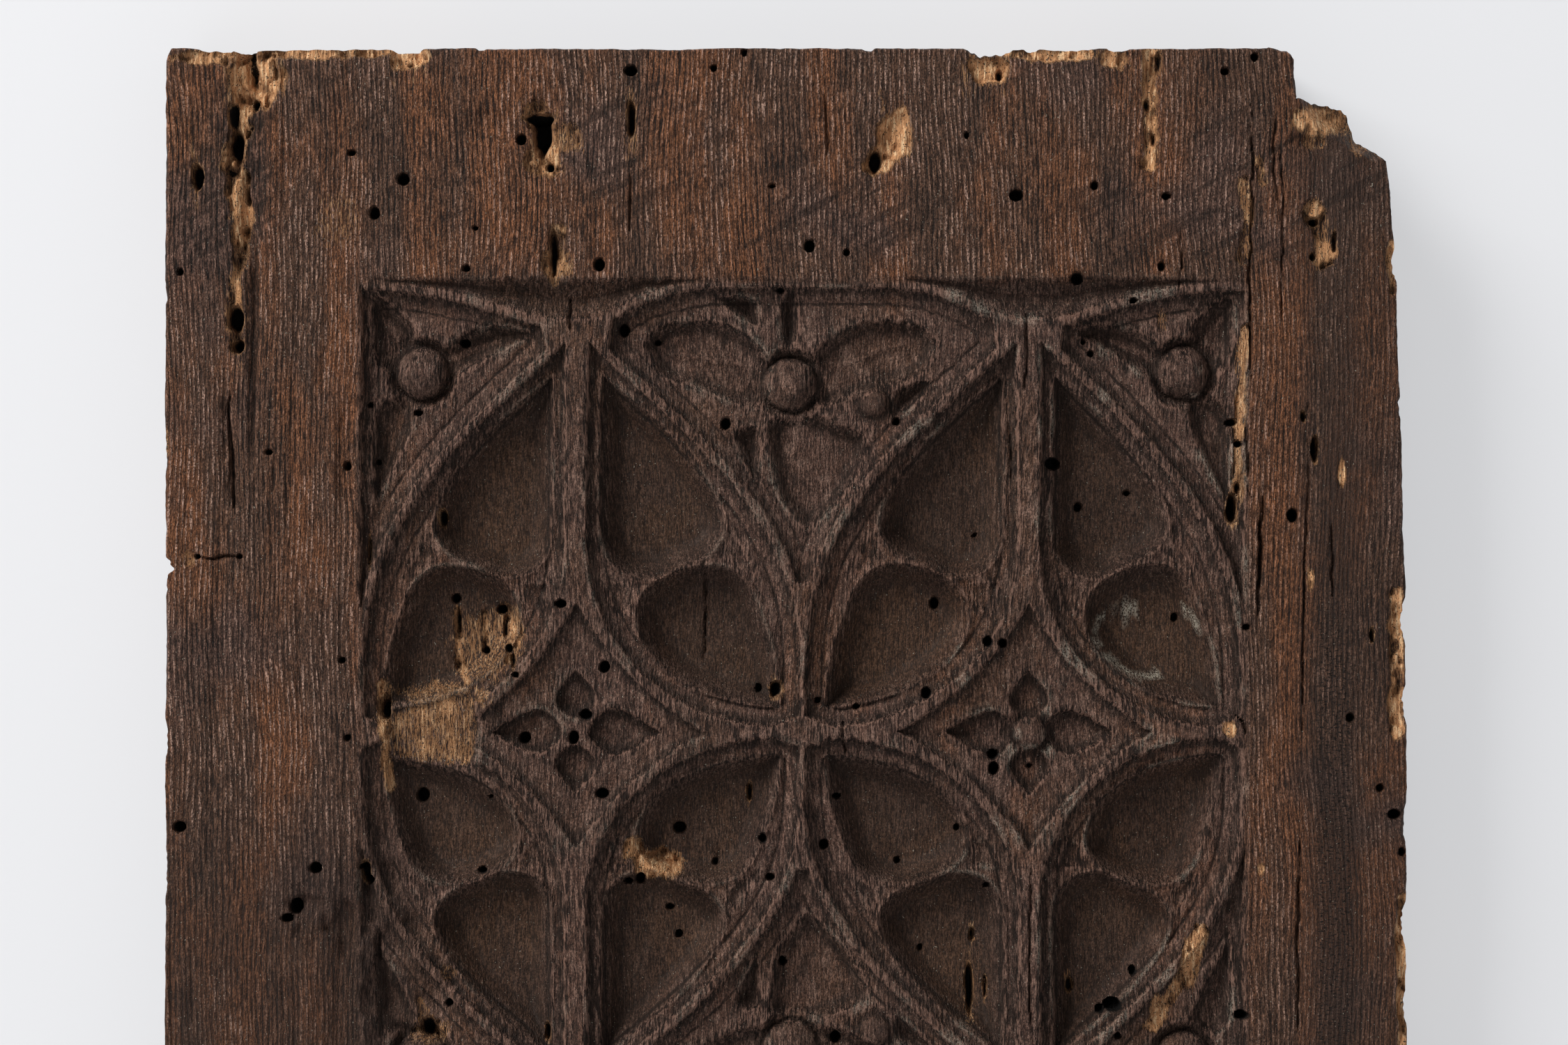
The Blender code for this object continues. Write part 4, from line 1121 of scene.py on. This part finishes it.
# The sizes of the oak's markings in mm: across the grain, through the board and up the grain
KNOT_SWAY, SLOW, LINED = (38, 60, 55), (12, 30, 50), (9, 30, 34)
PATCH, BLOTCH, RAYS, RUNGS = (26, 26, 30), (3.4, 3.4, 6.2), (30, 30, 2.3), (0.9, 2, 0.36)
DASH, THREAD, GRIT, SPECK = (0.45, 1.6, 3.2), (0.24, 0.55, 1.7), (0.36, 0.36, 0.48), (0.42, 0.42, 0.42)
LINED_SHIFT = (17.0, 5.0, 9.0)
RAY_ANGLE = math.radians(28)

# Where the board's tone changes, in mm to the right of its centre or above it
RIGHT_GREYS_FADE = (55.0, 95.0)
BURNT_FROM = (FIELD_RIGHT / MM + 6, FIELD_RIGHT / MM + 17)
BURNT_UNTIL = (112.0, 118.0)
LOW_LEFT_ACROSS, LOW_LEFT_BELOW = (-70.0, -84.0), (0.0, -45.0)
CRAZED_FROM, CRAZED_UNTIL, CRAZED_BELOW = (105.5, 107.5), (115.0, 113.0), (45, 5)
RAYS_ABOVE = (FIELD_TOP / MM, FIELD_TOP / MM + 4)


class Wiring:
    """Adds nodes to a tree one at a time and hands back the socket that each puts out."""

    def __init__(self, tree):
        self.tree = tree

    def node(self, kind, **settings):
        node = self.tree.nodes.new(kind)
        for name, value in settings.items():
            setattr(node, name, value)
        return node

    def feed(self, socket, value):
        if isinstance(value, bpy.types.NodeSocket):
            self.tree.links.new(value, socket)
        else:
            socket.default_value = value

    def fill(self, node, *values):
        """Feeds a node's first inputs in their order and hands back what it puts out."""
        for socket, value in zip(node.inputs, values):
            self.feed(socket, value)
        return node.outputs

    def maths(self, operation, first, second, clamp=False):
        return self.fill(self.node("ShaderNodeMath", operation=operation, use_clamp=clamp), first, second)[0]

    def minus(self, first, second):
        return self.maths("SUBTRACT", first, second)

    def chain(self, operation, values):
        total = values[0]
        for value in values[1:]:
            total = self.maths(operation, total, value)
        return total

    def times(self, *factors):
        return self.chain("MULTIPLY", factors)

    def plus(self, *terms):
        return self.chain("ADD", terms)

    def most(self, *values):
        return self.chain("MAXIMUM", values)

    def swing(self, value, gain):
        """How far a noise strays from its middle, times a gain."""
        return self.times(self.minus(value, 0.5), gain)

    def vectors(self, operation, first, second):
        return self.fill(self.node("ShaderNodeVectorMath", operation=operation), first, second)[0]

    def parts(self, vector):
        return tuple(self.fill(self.node("ShaderNodeSeparateXYZ"), vector))

    def joined(self, across, upwards):
        return self.fill(self.node("ShaderNodeCombineXYZ"), across, 0.0, upwards)[0]

    def noise(self, vector, detail=1.0, roughness=0.5):
        node = self.node("ShaderNodeTexNoise")
        for name, value in (("Vector", vector), ("Scale", 1.0), ("Detail", detail), ("Roughness", roughness)):
            self.feed(node.inputs[name], value)
        return node.outputs["Fac"]

    def marking(self, place, size, detail=1.0, roughness=0.5, shift=None):
        """A noise with blotches of a size in mm across, through and up the board."""
        place = self.vectors("MULTIPLY", place, tuple(1 / length for length in size))
        return self.noise(self.vectors("ADD", place, shift) if shift else place, detail, roughness)

    def spread(self, value, low, high, to_low=0.0, to_high=1.0):
        """An easy curve from to_low, where the value is low, to to_high, where it is high."""
        node = self.node("ShaderNodeMapRange", interpolation_type="SMOOTHSTEP")
        return self.fill(node, value, low, high, to_low, to_high)[0]

    def mix(self, share, first, second, blend="MIX"):
        node = self.node("ShaderNodeMix", data_type="RGBA", blend_type=blend)
        for number, value in ((0, share), (6, first), (7, second)):
            self.feed(node.inputs[number], value)
        return node.outputs[2]

    def shaded(self, colour, factor):
        """A colour made darker or lighter by a factor."""
        grey = self.fill(self.node("ShaderNodeCombineColor"), factor, factor, factor)[0]
        return self.mix(1.0, colour, grey, "MULTIPLY")

    def masks(self, name):
        return self.parts(self.node("ShaderNodeAttribute", attribute_name=name).outputs["Vector"])

    def group(self, tree, **values):
        node = self.node("ShaderNodeGroup", node_tree=tree)
        for name, value in values.items():
            self.feed(node.inputs[name], value)
        return node.outputs


def grain_group():
    """Grain that runs up the board: ridges at an even spacing that waver and break off, from 0 to 1."""
    tree = bpy.data.node_groups.new("Raised grain", "ShaderNodeTree")
    tree.interface.new_socket("Position", in_out="INPUT", socket_type="NodeSocketVector")
    for name in ("Spacing", "Length", "Waver", "Breaks"):
        tree.interface.new_socket(name, in_out="INPUT", socket_type="NodeSocketFloat")
    tree.interface.new_socket("Ridge", in_out="OUTPUT", socket_type="NodeSocketFloat")
    make = Wiring(tree)
    given = make.node("NodeGroupInput").outputs
    across, through, upwards = make.parts(given["Position"])
    in_spacings = make.maths("DIVIDE", make.plus(across, make.times(through, 0.12)), given["Spacing"])
    in_lengths = make.maths("DIVIDE", upwards, given["Length"])
    loose = make.joined(make.times(in_spacings, 0.37), make.times(in_lengths, 0.35))
    phase = make.plus(in_spacings, make.swing(make.noise(loose), given["Waver"]))
    even = make.times(make.maths("PINGPONG", phase, 0.5), 2.0)
    close = make.joined(make.times(in_spacings, 1.15), in_lengths)
    broken = make.swing(make.noise(close, 2.0, 0.65), given["Breaks"])
    make.fill(make.node("NodeGroupOutput"), make.maths("ADD", even, broken, clamp=True))
    return tree


def grain_place(make):
    """Object coordinates in millimetres, plain and bent as the grain bends round old knots."""
    place = make.vectors("MULTIPLY", make.node("ShaderNodeTexCoord").outputs["Object"], (1000, 1000, 1000))
    sway = make.swing(make.marking(place, KNOT_SWAY), 7.0)
    return place, make.vectors("ADD", place, make.joined(sway, 0.0))


def new_material(name):
    """An empty Principled material: the material, its shader and the hand that wires it."""
    material = bpy.data.materials.new(name)
    material.use_nodes = True
    return material, material.node_tree.nodes["Principled BSDF"], Wiring(material.node_tree)


def oak_material(grain):
    """Dark old oak: rust and umber between grey weathered ridges, pale where it is newly broken."""
    material, shader, make = new_material("old_oak")
    spread, mix, times, plus, most = make.spread, make.mix, make.times, make.plus, make.most
    place, bent = grain_place(make)
    across, _, upwards = make.parts(place)
    carved, floor, slope = make.masks("form")
    crest, rim, line = make.masks("edges")
    pale, cavity_shade, crusty = make.masks("wear")

    ridge = make.group(grain, Position=bent, Spacing=1.05, Length=6.0, Waver=1.3, Breaks=2.6)[0]
    close = make.group(grain, Position=bent, Spacing=0.52, Length=4.0, Waver=1.4, Breaks=2.8)[0]
    dash = make.marking(bent, DASH, 2.0, 0.66)
    thread = make.marking(bent, THREAD, 2.0, 0.75)
    grit = make.marking(place, GRIT, 2.0, 0.8)
    slow = make.marking(bent, SLOW, 2.0, 0.55)
    patch = make.marking(place, PATCH, 2.0, 0.55)
    blotch = make.marking(place, BLOTCH, 2.0, 0.65)
    lined = make.marking(bent, LINED, shift=LINED_SHIFT)
    speck = make.marking(place, SPECK)
    rungs = make.marking(place, RUNGS)

    # Smooth dark bands where rays cross the border slantwise
    turned = make.node("ShaderNodeVectorRotate", rotation_type="Y_AXIS")
    make.feed(turned.inputs["Vector"], place)
    make.feed(turned.inputs["Angle"], RAY_ANGLE)
    rays = spread(make.marking(turned.outputs[0], RAYS), 0.55, 0.64)
    rays = times(rays, spread(upwards, *RAYS_ABOVE), spread(patch, 0.45, 0.6))

    # Plain border wood, carved wood and the smooth floors of the lobes
    warm = mix(spread(slow, 0.40, 0.62), UMBER, RUST)
    border = mix(spread(patch, 0.50, 0.72), warm, MAUVE)
    worked = mix(spread(patch, 0.42, 0.66), MAUVE, UMBER)
    worked = mix(times(spread(slow, 0.52, 0.68), 0.3), worked, RUST)
    worked = mix(spread(blotch, 0.46, 0.34, 0.0, 0.6), worked, SOOT_AND_SHADE)
    worked = mix(spread(blotch, 0.54, 0.68, 0.0, 0.26), worked, GREY_RIDGE)
    wood = mix(carved, border, worked)
    floors = mix(spread(patch, 0.42, 0.6), FLOOR_BROWN, FLOOR_RUST)
    wood = mix(times(floor, 0.92), wood, floors)

    # Grey on the ridges of the grain and dark in its furrows
    quiet = spread(floor, 0.2, 0.9, 1.0, 0.16)
    tops = times(
        spread(ridge, 0.72, 0.88),
        spread(grit, 0.38, 0.54),
        spread(rays, 0.0, 1.0, 1.0, 0.15),
        spread(carved, 0.0, 1.0, 0.78, 0.24),
        spread(lined, 0.40, 0.60, 0.3, 1.0),
        spread(across, *RIGHT_GREYS_FADE, 1.0, 0.65),
    )
    flecks = times(spread(dash, 0.53, 0.61), spread(slope, 0.1, 0.8, 0.20, 0.30), carved)
    wood = mix(times(most(tops, flecks), quiet), wood, GREY_RIDGE)
    furrow = most(spread(ridge, 0.30, 0.10), spread(close, 0.24, 0.06, 0.0, 0.7))
    furrow = times(furrow, spread(carved, 0.0, 1.0, 0.9, 0.4), spread(lined, 0.60, 0.40, 0.55, 1.0))
    streaks = times(spread(dash, 0.48, 0.38), spread(slope, 0.1, 0.8, 0.45, 0.8))
    wood = mix(times(most(furrow, streaks), quiet), wood, FURROW)
    wood = mix(times(rays, 0.5), wood, SOOT_AND_SHADE)
    wood = make.shaded(wood, spread(thread, 0.38, 0.62, 0.5, 1.5))
    wood = make.shaded(wood, spread(grit, 0.38, 0.62, 0.58, 1.45))
    # Steep carved walls painted darker: painted shade
    wood = mix(times(spread(slope, 0.25, 0.8, 0.0, 0.34), carved), wood, SOOT_AND_SHADE)

    # Crests rubbed to torn grey fibres, partly a painted highlight, and painted shade in the hollows
    ragged = make.swing(thread, 1.3)
    rubbed_and_highlit = times(spread(plus(crest, ragged), 0.12, 0.62), carved)
    wood = mix(times(rubbed_and_highlit, 0.14), wood, CREST_GREY_AND_HIGHLIGHT)
    gaps = times(spread(dash, 0.485, 0.40), spread(rim, 0.05, 0.6), carved)
    wood = mix(times(gaps, 0.8), wood, FURROW)
    # Light torn fibres along the rims, partly a painted highlight on the edges
    torn_rim_and_highlight = spread(plus(rim, ragged, make.swing(dash, 1.5)), 0.72, 0.98)
    torn_rim_and_highlight = times(torn_rim_and_highlight, carved, spread(crest, -0.15, 0.2))
    wood = mix(times(torn_rim_and_highlight, 0.5), wood, CREST_GREY_AND_HIGHLIGHT)
    scored = spread(plus(line, times(ragged, 0.5)), 0.74, 0.88)
    wood = mix(times(scored, spread(blotch, 0.42, 0.58, 0.15, 0.8)), wood, FURROW)
    # Darker in the hollows: painted shade, with some grime
    grime_and_shade = spread(plus(crest, times(ragged, 0.6)), -0.10, -0.5, 0.0, 0.6)
    wood = mix(grime_and_shade, wood, SOOT_AND_SHADE)

    # The right border and the lower left are darker, and the right border's far strip is crazed
    burnt = times(
        spread(across, *BURNT_FROM),
        spread(slow, 0.35, 0.6, 0.4, 0.8),
        spread(across, *BURNT_UNTIL, 1.0, 0.55),
    )
    low_left = times(spread(upwards, *LOW_LEFT_BELOW), spread(across, *LOW_LEFT_ACROSS), 0.5)
    wood = mix(most(burnt, low_left), wood, BURNT)
    strip = times(spread(across, *CRAZED_FROM), spread(across, *CRAZED_UNTIL), spread(upwards, *CRAZED_BELOW))
    wood = mix(times(spread(rungs, 0.46, 0.36), strip), wood, FURROW)

    # Pale broken wood
    fresh = spread(pale, 0.55, 0.95)
    torn = mix(fresh, OCHRE, TAN)
    torn = mix(spread(thread, 0.50, 0.34, 0.0, 0.7), torn, TAN_DEEP)
    torn = mix(times(spread(dash, 0.50, 0.66), spread(fresh, 0.0, 1.0, 0.25, 0.8)), torn, TAN_LIGHT)
    torn = mix(times(spread(ridge, 0.25, 0.0), 0.3), torn, RUST)
    torn = mix(spread(speck, 0.62, 0.70), torn, SOOT_AND_SHADE)
    uneven = times(plus(pale, make.swing(thread, 2.0)), spread(pale, 0.02, 0.2))
    bare = spread(uneven, 0.30, 0.62)
    wood = mix(bare, wood, torn)

    # White crust, specks of dust and painted shade inside the holes, galleries and cracks
    wood = mix(times(crusty, spread(grit, 0.42, 0.56), 0.8), wood, CRUST)
    wood = mix(times(spread(speck, 0.735, 0.77), 0.5), wood, CRUST)
    opening = spread(plus(cavity_shade, make.swing(grit, 0.25)), 0.48, 0.60)
    wood = mix(opening, wood, HOLE_SHADE)
    make.feed(shader.inputs["Base Color"], wood)

    gloss = spread(dash, 0.35, 0.65, 0.80, 0.58)
    make.feed(shader.inputs["Roughness"], plus(gloss, times(bare, 0.2)))
    make.feed(shader.inputs["Specular IOR Level"], 0.16)

    # Relief too fine for the mesh, in millimetres
    proud = times(ridge, spread(carved, 0.0, 1.0, 0.27, 0.10))
    raised = times(plus(proud, times(dash, spread(slope, 0.1, 0.8, 0.25, 0.8))), quiet)
    rasped = plus(thread, times(grit, 1.3))
    raised = plus(raised, times(rasped, spread(floor, 0.2, 0.9, 0.36, 0.15)))
    raised = make.minus(raised, times(gaps, 0.4))
    bump = make.node("ShaderNodeBump")
    for name, value in (("Strength", 1.0), ("Distance", MM), ("Height", raised)):
        make.feed(bump.inputs[name], value)
    make.feed(shader.inputs["Normal"], bump.outputs["Normal"])
    return material


# The stage and its lights, in metres and watts
SKY_WHITE, SUN_WHITE = (0.97, 0.98, 1.0), (1.0, 0.995, 0.98)
WALL_PAINT, WALL_GLOW = paint(147, 147, 149), 0.514
FLOOR_PAINT, FLOOR_GLOW = paint(190, 190, 192), 0.3
STAGE_REACH, STAGE_HEAD, FLOOR_BELOW, WALL_BEHIND = 4.0, 3.0, 0.6, 1.5 * MM
LIGHTS = (
    # name, place, point that it looks at, width, height, power, colour
    ("window", (-1.15, -0.90, 1.15), (0.0, -THICKNESS, 0.02), 1.0, 1.0, 48, SUN_WHITE),
    ("room", (0.5, -1.8, 0.3), (0.0, -THICKNESS, 0.02), 2.2, 2.2, 4, SKY_WHITE),
    ("behind", (0.6, 1.2, 0.8), (0.0, 0.0, 0.0), 1.0, 1.0, 8, (1.0, 1.0, 1.0)),
)
AIR_GLOW = 0.22
LENS, SENSOR = 100, 36


def stage_material(name, colour, glow):
    """Matt paint, lifted by the room's light, that shows only from its front, not to a view from behind."""
    material, shader, make = new_material(name)
    settings = {
        "Base Color": colour,
        "Emission Color": (*SKY_WHITE, 1.0),
        "Emission Strength": glow,
        "Roughness": 0.9,
        "Specular IOR Level": 0.1,
    }
    for socket, value in settings.items():
        make.feed(shader.inputs[socket], value)
    clear = make.node("ShaderNodeBsdfTransparent").outputs[0]
    back = make.node("ShaderNodeNewGeometry").outputs["Backfacing"]
    either = make.fill(make.node("ShaderNodeMixShader"), back, shader.outputs[0], clear)[0]
    make.feed(material.node_tree.nodes["Material Output"].inputs["Surface"], either)
    return material


def stage_plane(name, corners, material):
    """One flat sheet of the stage."""
    mesh = bpy.data.meshes.new(name)
    mesh.from_pydata(corners, [], [(0, 1, 2, 3)])
    mesh.materials.append(material)
    sheet = new_object(name, mesh)
    sheet.visible_shadow = False


def build_stage():
    """A pale wall just behind the panel and a pale floor well below it."""
    left, right, near = -STAGE_REACH, STAGE_REACH, -STAGE_REACH
    far, low, high = WALL_BEHIND, BOTTOM - FLOOR_BELOW, STAGE_HEAD
    wall = ((left, far, low), (right, far, low), (right, far, high), (left, far, high))
    floor = ((left, near, low), (right, near, low), (right, far, low), (left, far, low))
    stage_plane("wall", wall, stage_material("wall_paint", WALL_PAINT, WALL_GLOW))
    stage_plane("floor", floor, stage_material("floor_paint", FLOOR_PAINT, FLOOR_GLOW))


def area_light(name, place, aim, width, height, power, colour):
    """A soft rectangular light that looks at a point."""
    light = bpy.data.lights.new(name, "AREA")
    light.shape = "RECTANGLE"
    light.size, light.size_y = width, height
    light.energy = power
    light.color = colour
    lamp = new_object(name, light)
    lamp.location = place
    lamp.rotation_euler = (Vector(aim) - Vector(place)).to_track_quat("-Z", "Y").to_euler()


def light_stage():
    """Daylight from the upper left, as from a high window, with a white room around it."""
    for light in LIGHTS:
        area_light(*light)
    world = bpy.data.worlds.new("room_air")
    world.use_nodes = True
    background = world.node_tree.nodes["Background"]
    background.inputs["Color"].default_value = (*SKY_WHITE, 1.0)
    background.inputs["Strength"].default_value = AIR_GLOW
    bpy.context.scene.world = world
    bpy.context.scene.view_settings.view_transform = "Standard"


def place_camera():
    """The camera squarely in front, framed as the photograph is, which cuts off the panel's foot."""
    camera = bpy.data.cameras.new("camera")
    camera.lens = LENS
    camera.sensor_width = SENSOR
    width = PHOTO_SIZE[0] * PIXEL
    distance = width * LENS / SENSOR
    x, z = from_photo(PHOTO_SIZE[0] / 2, PHOTO_SIZE[1] / 2)
    camera.clip_start = 0.01
    eye = new_object("camera", camera)
    eye.location = (x, -THICKNESS - distance, z)
    eye.rotation_euler = (math.pi / 2, 0, 0)
    bpy.context.scene.camera = eye


def main():
    face = Face()
    face.carve()
    face.wear()
    face.read_form()
    face.damage()
    board_piece(face, oak_material(grain_group()))
    build_stage()
    light_stage()
    place_camera()


main()
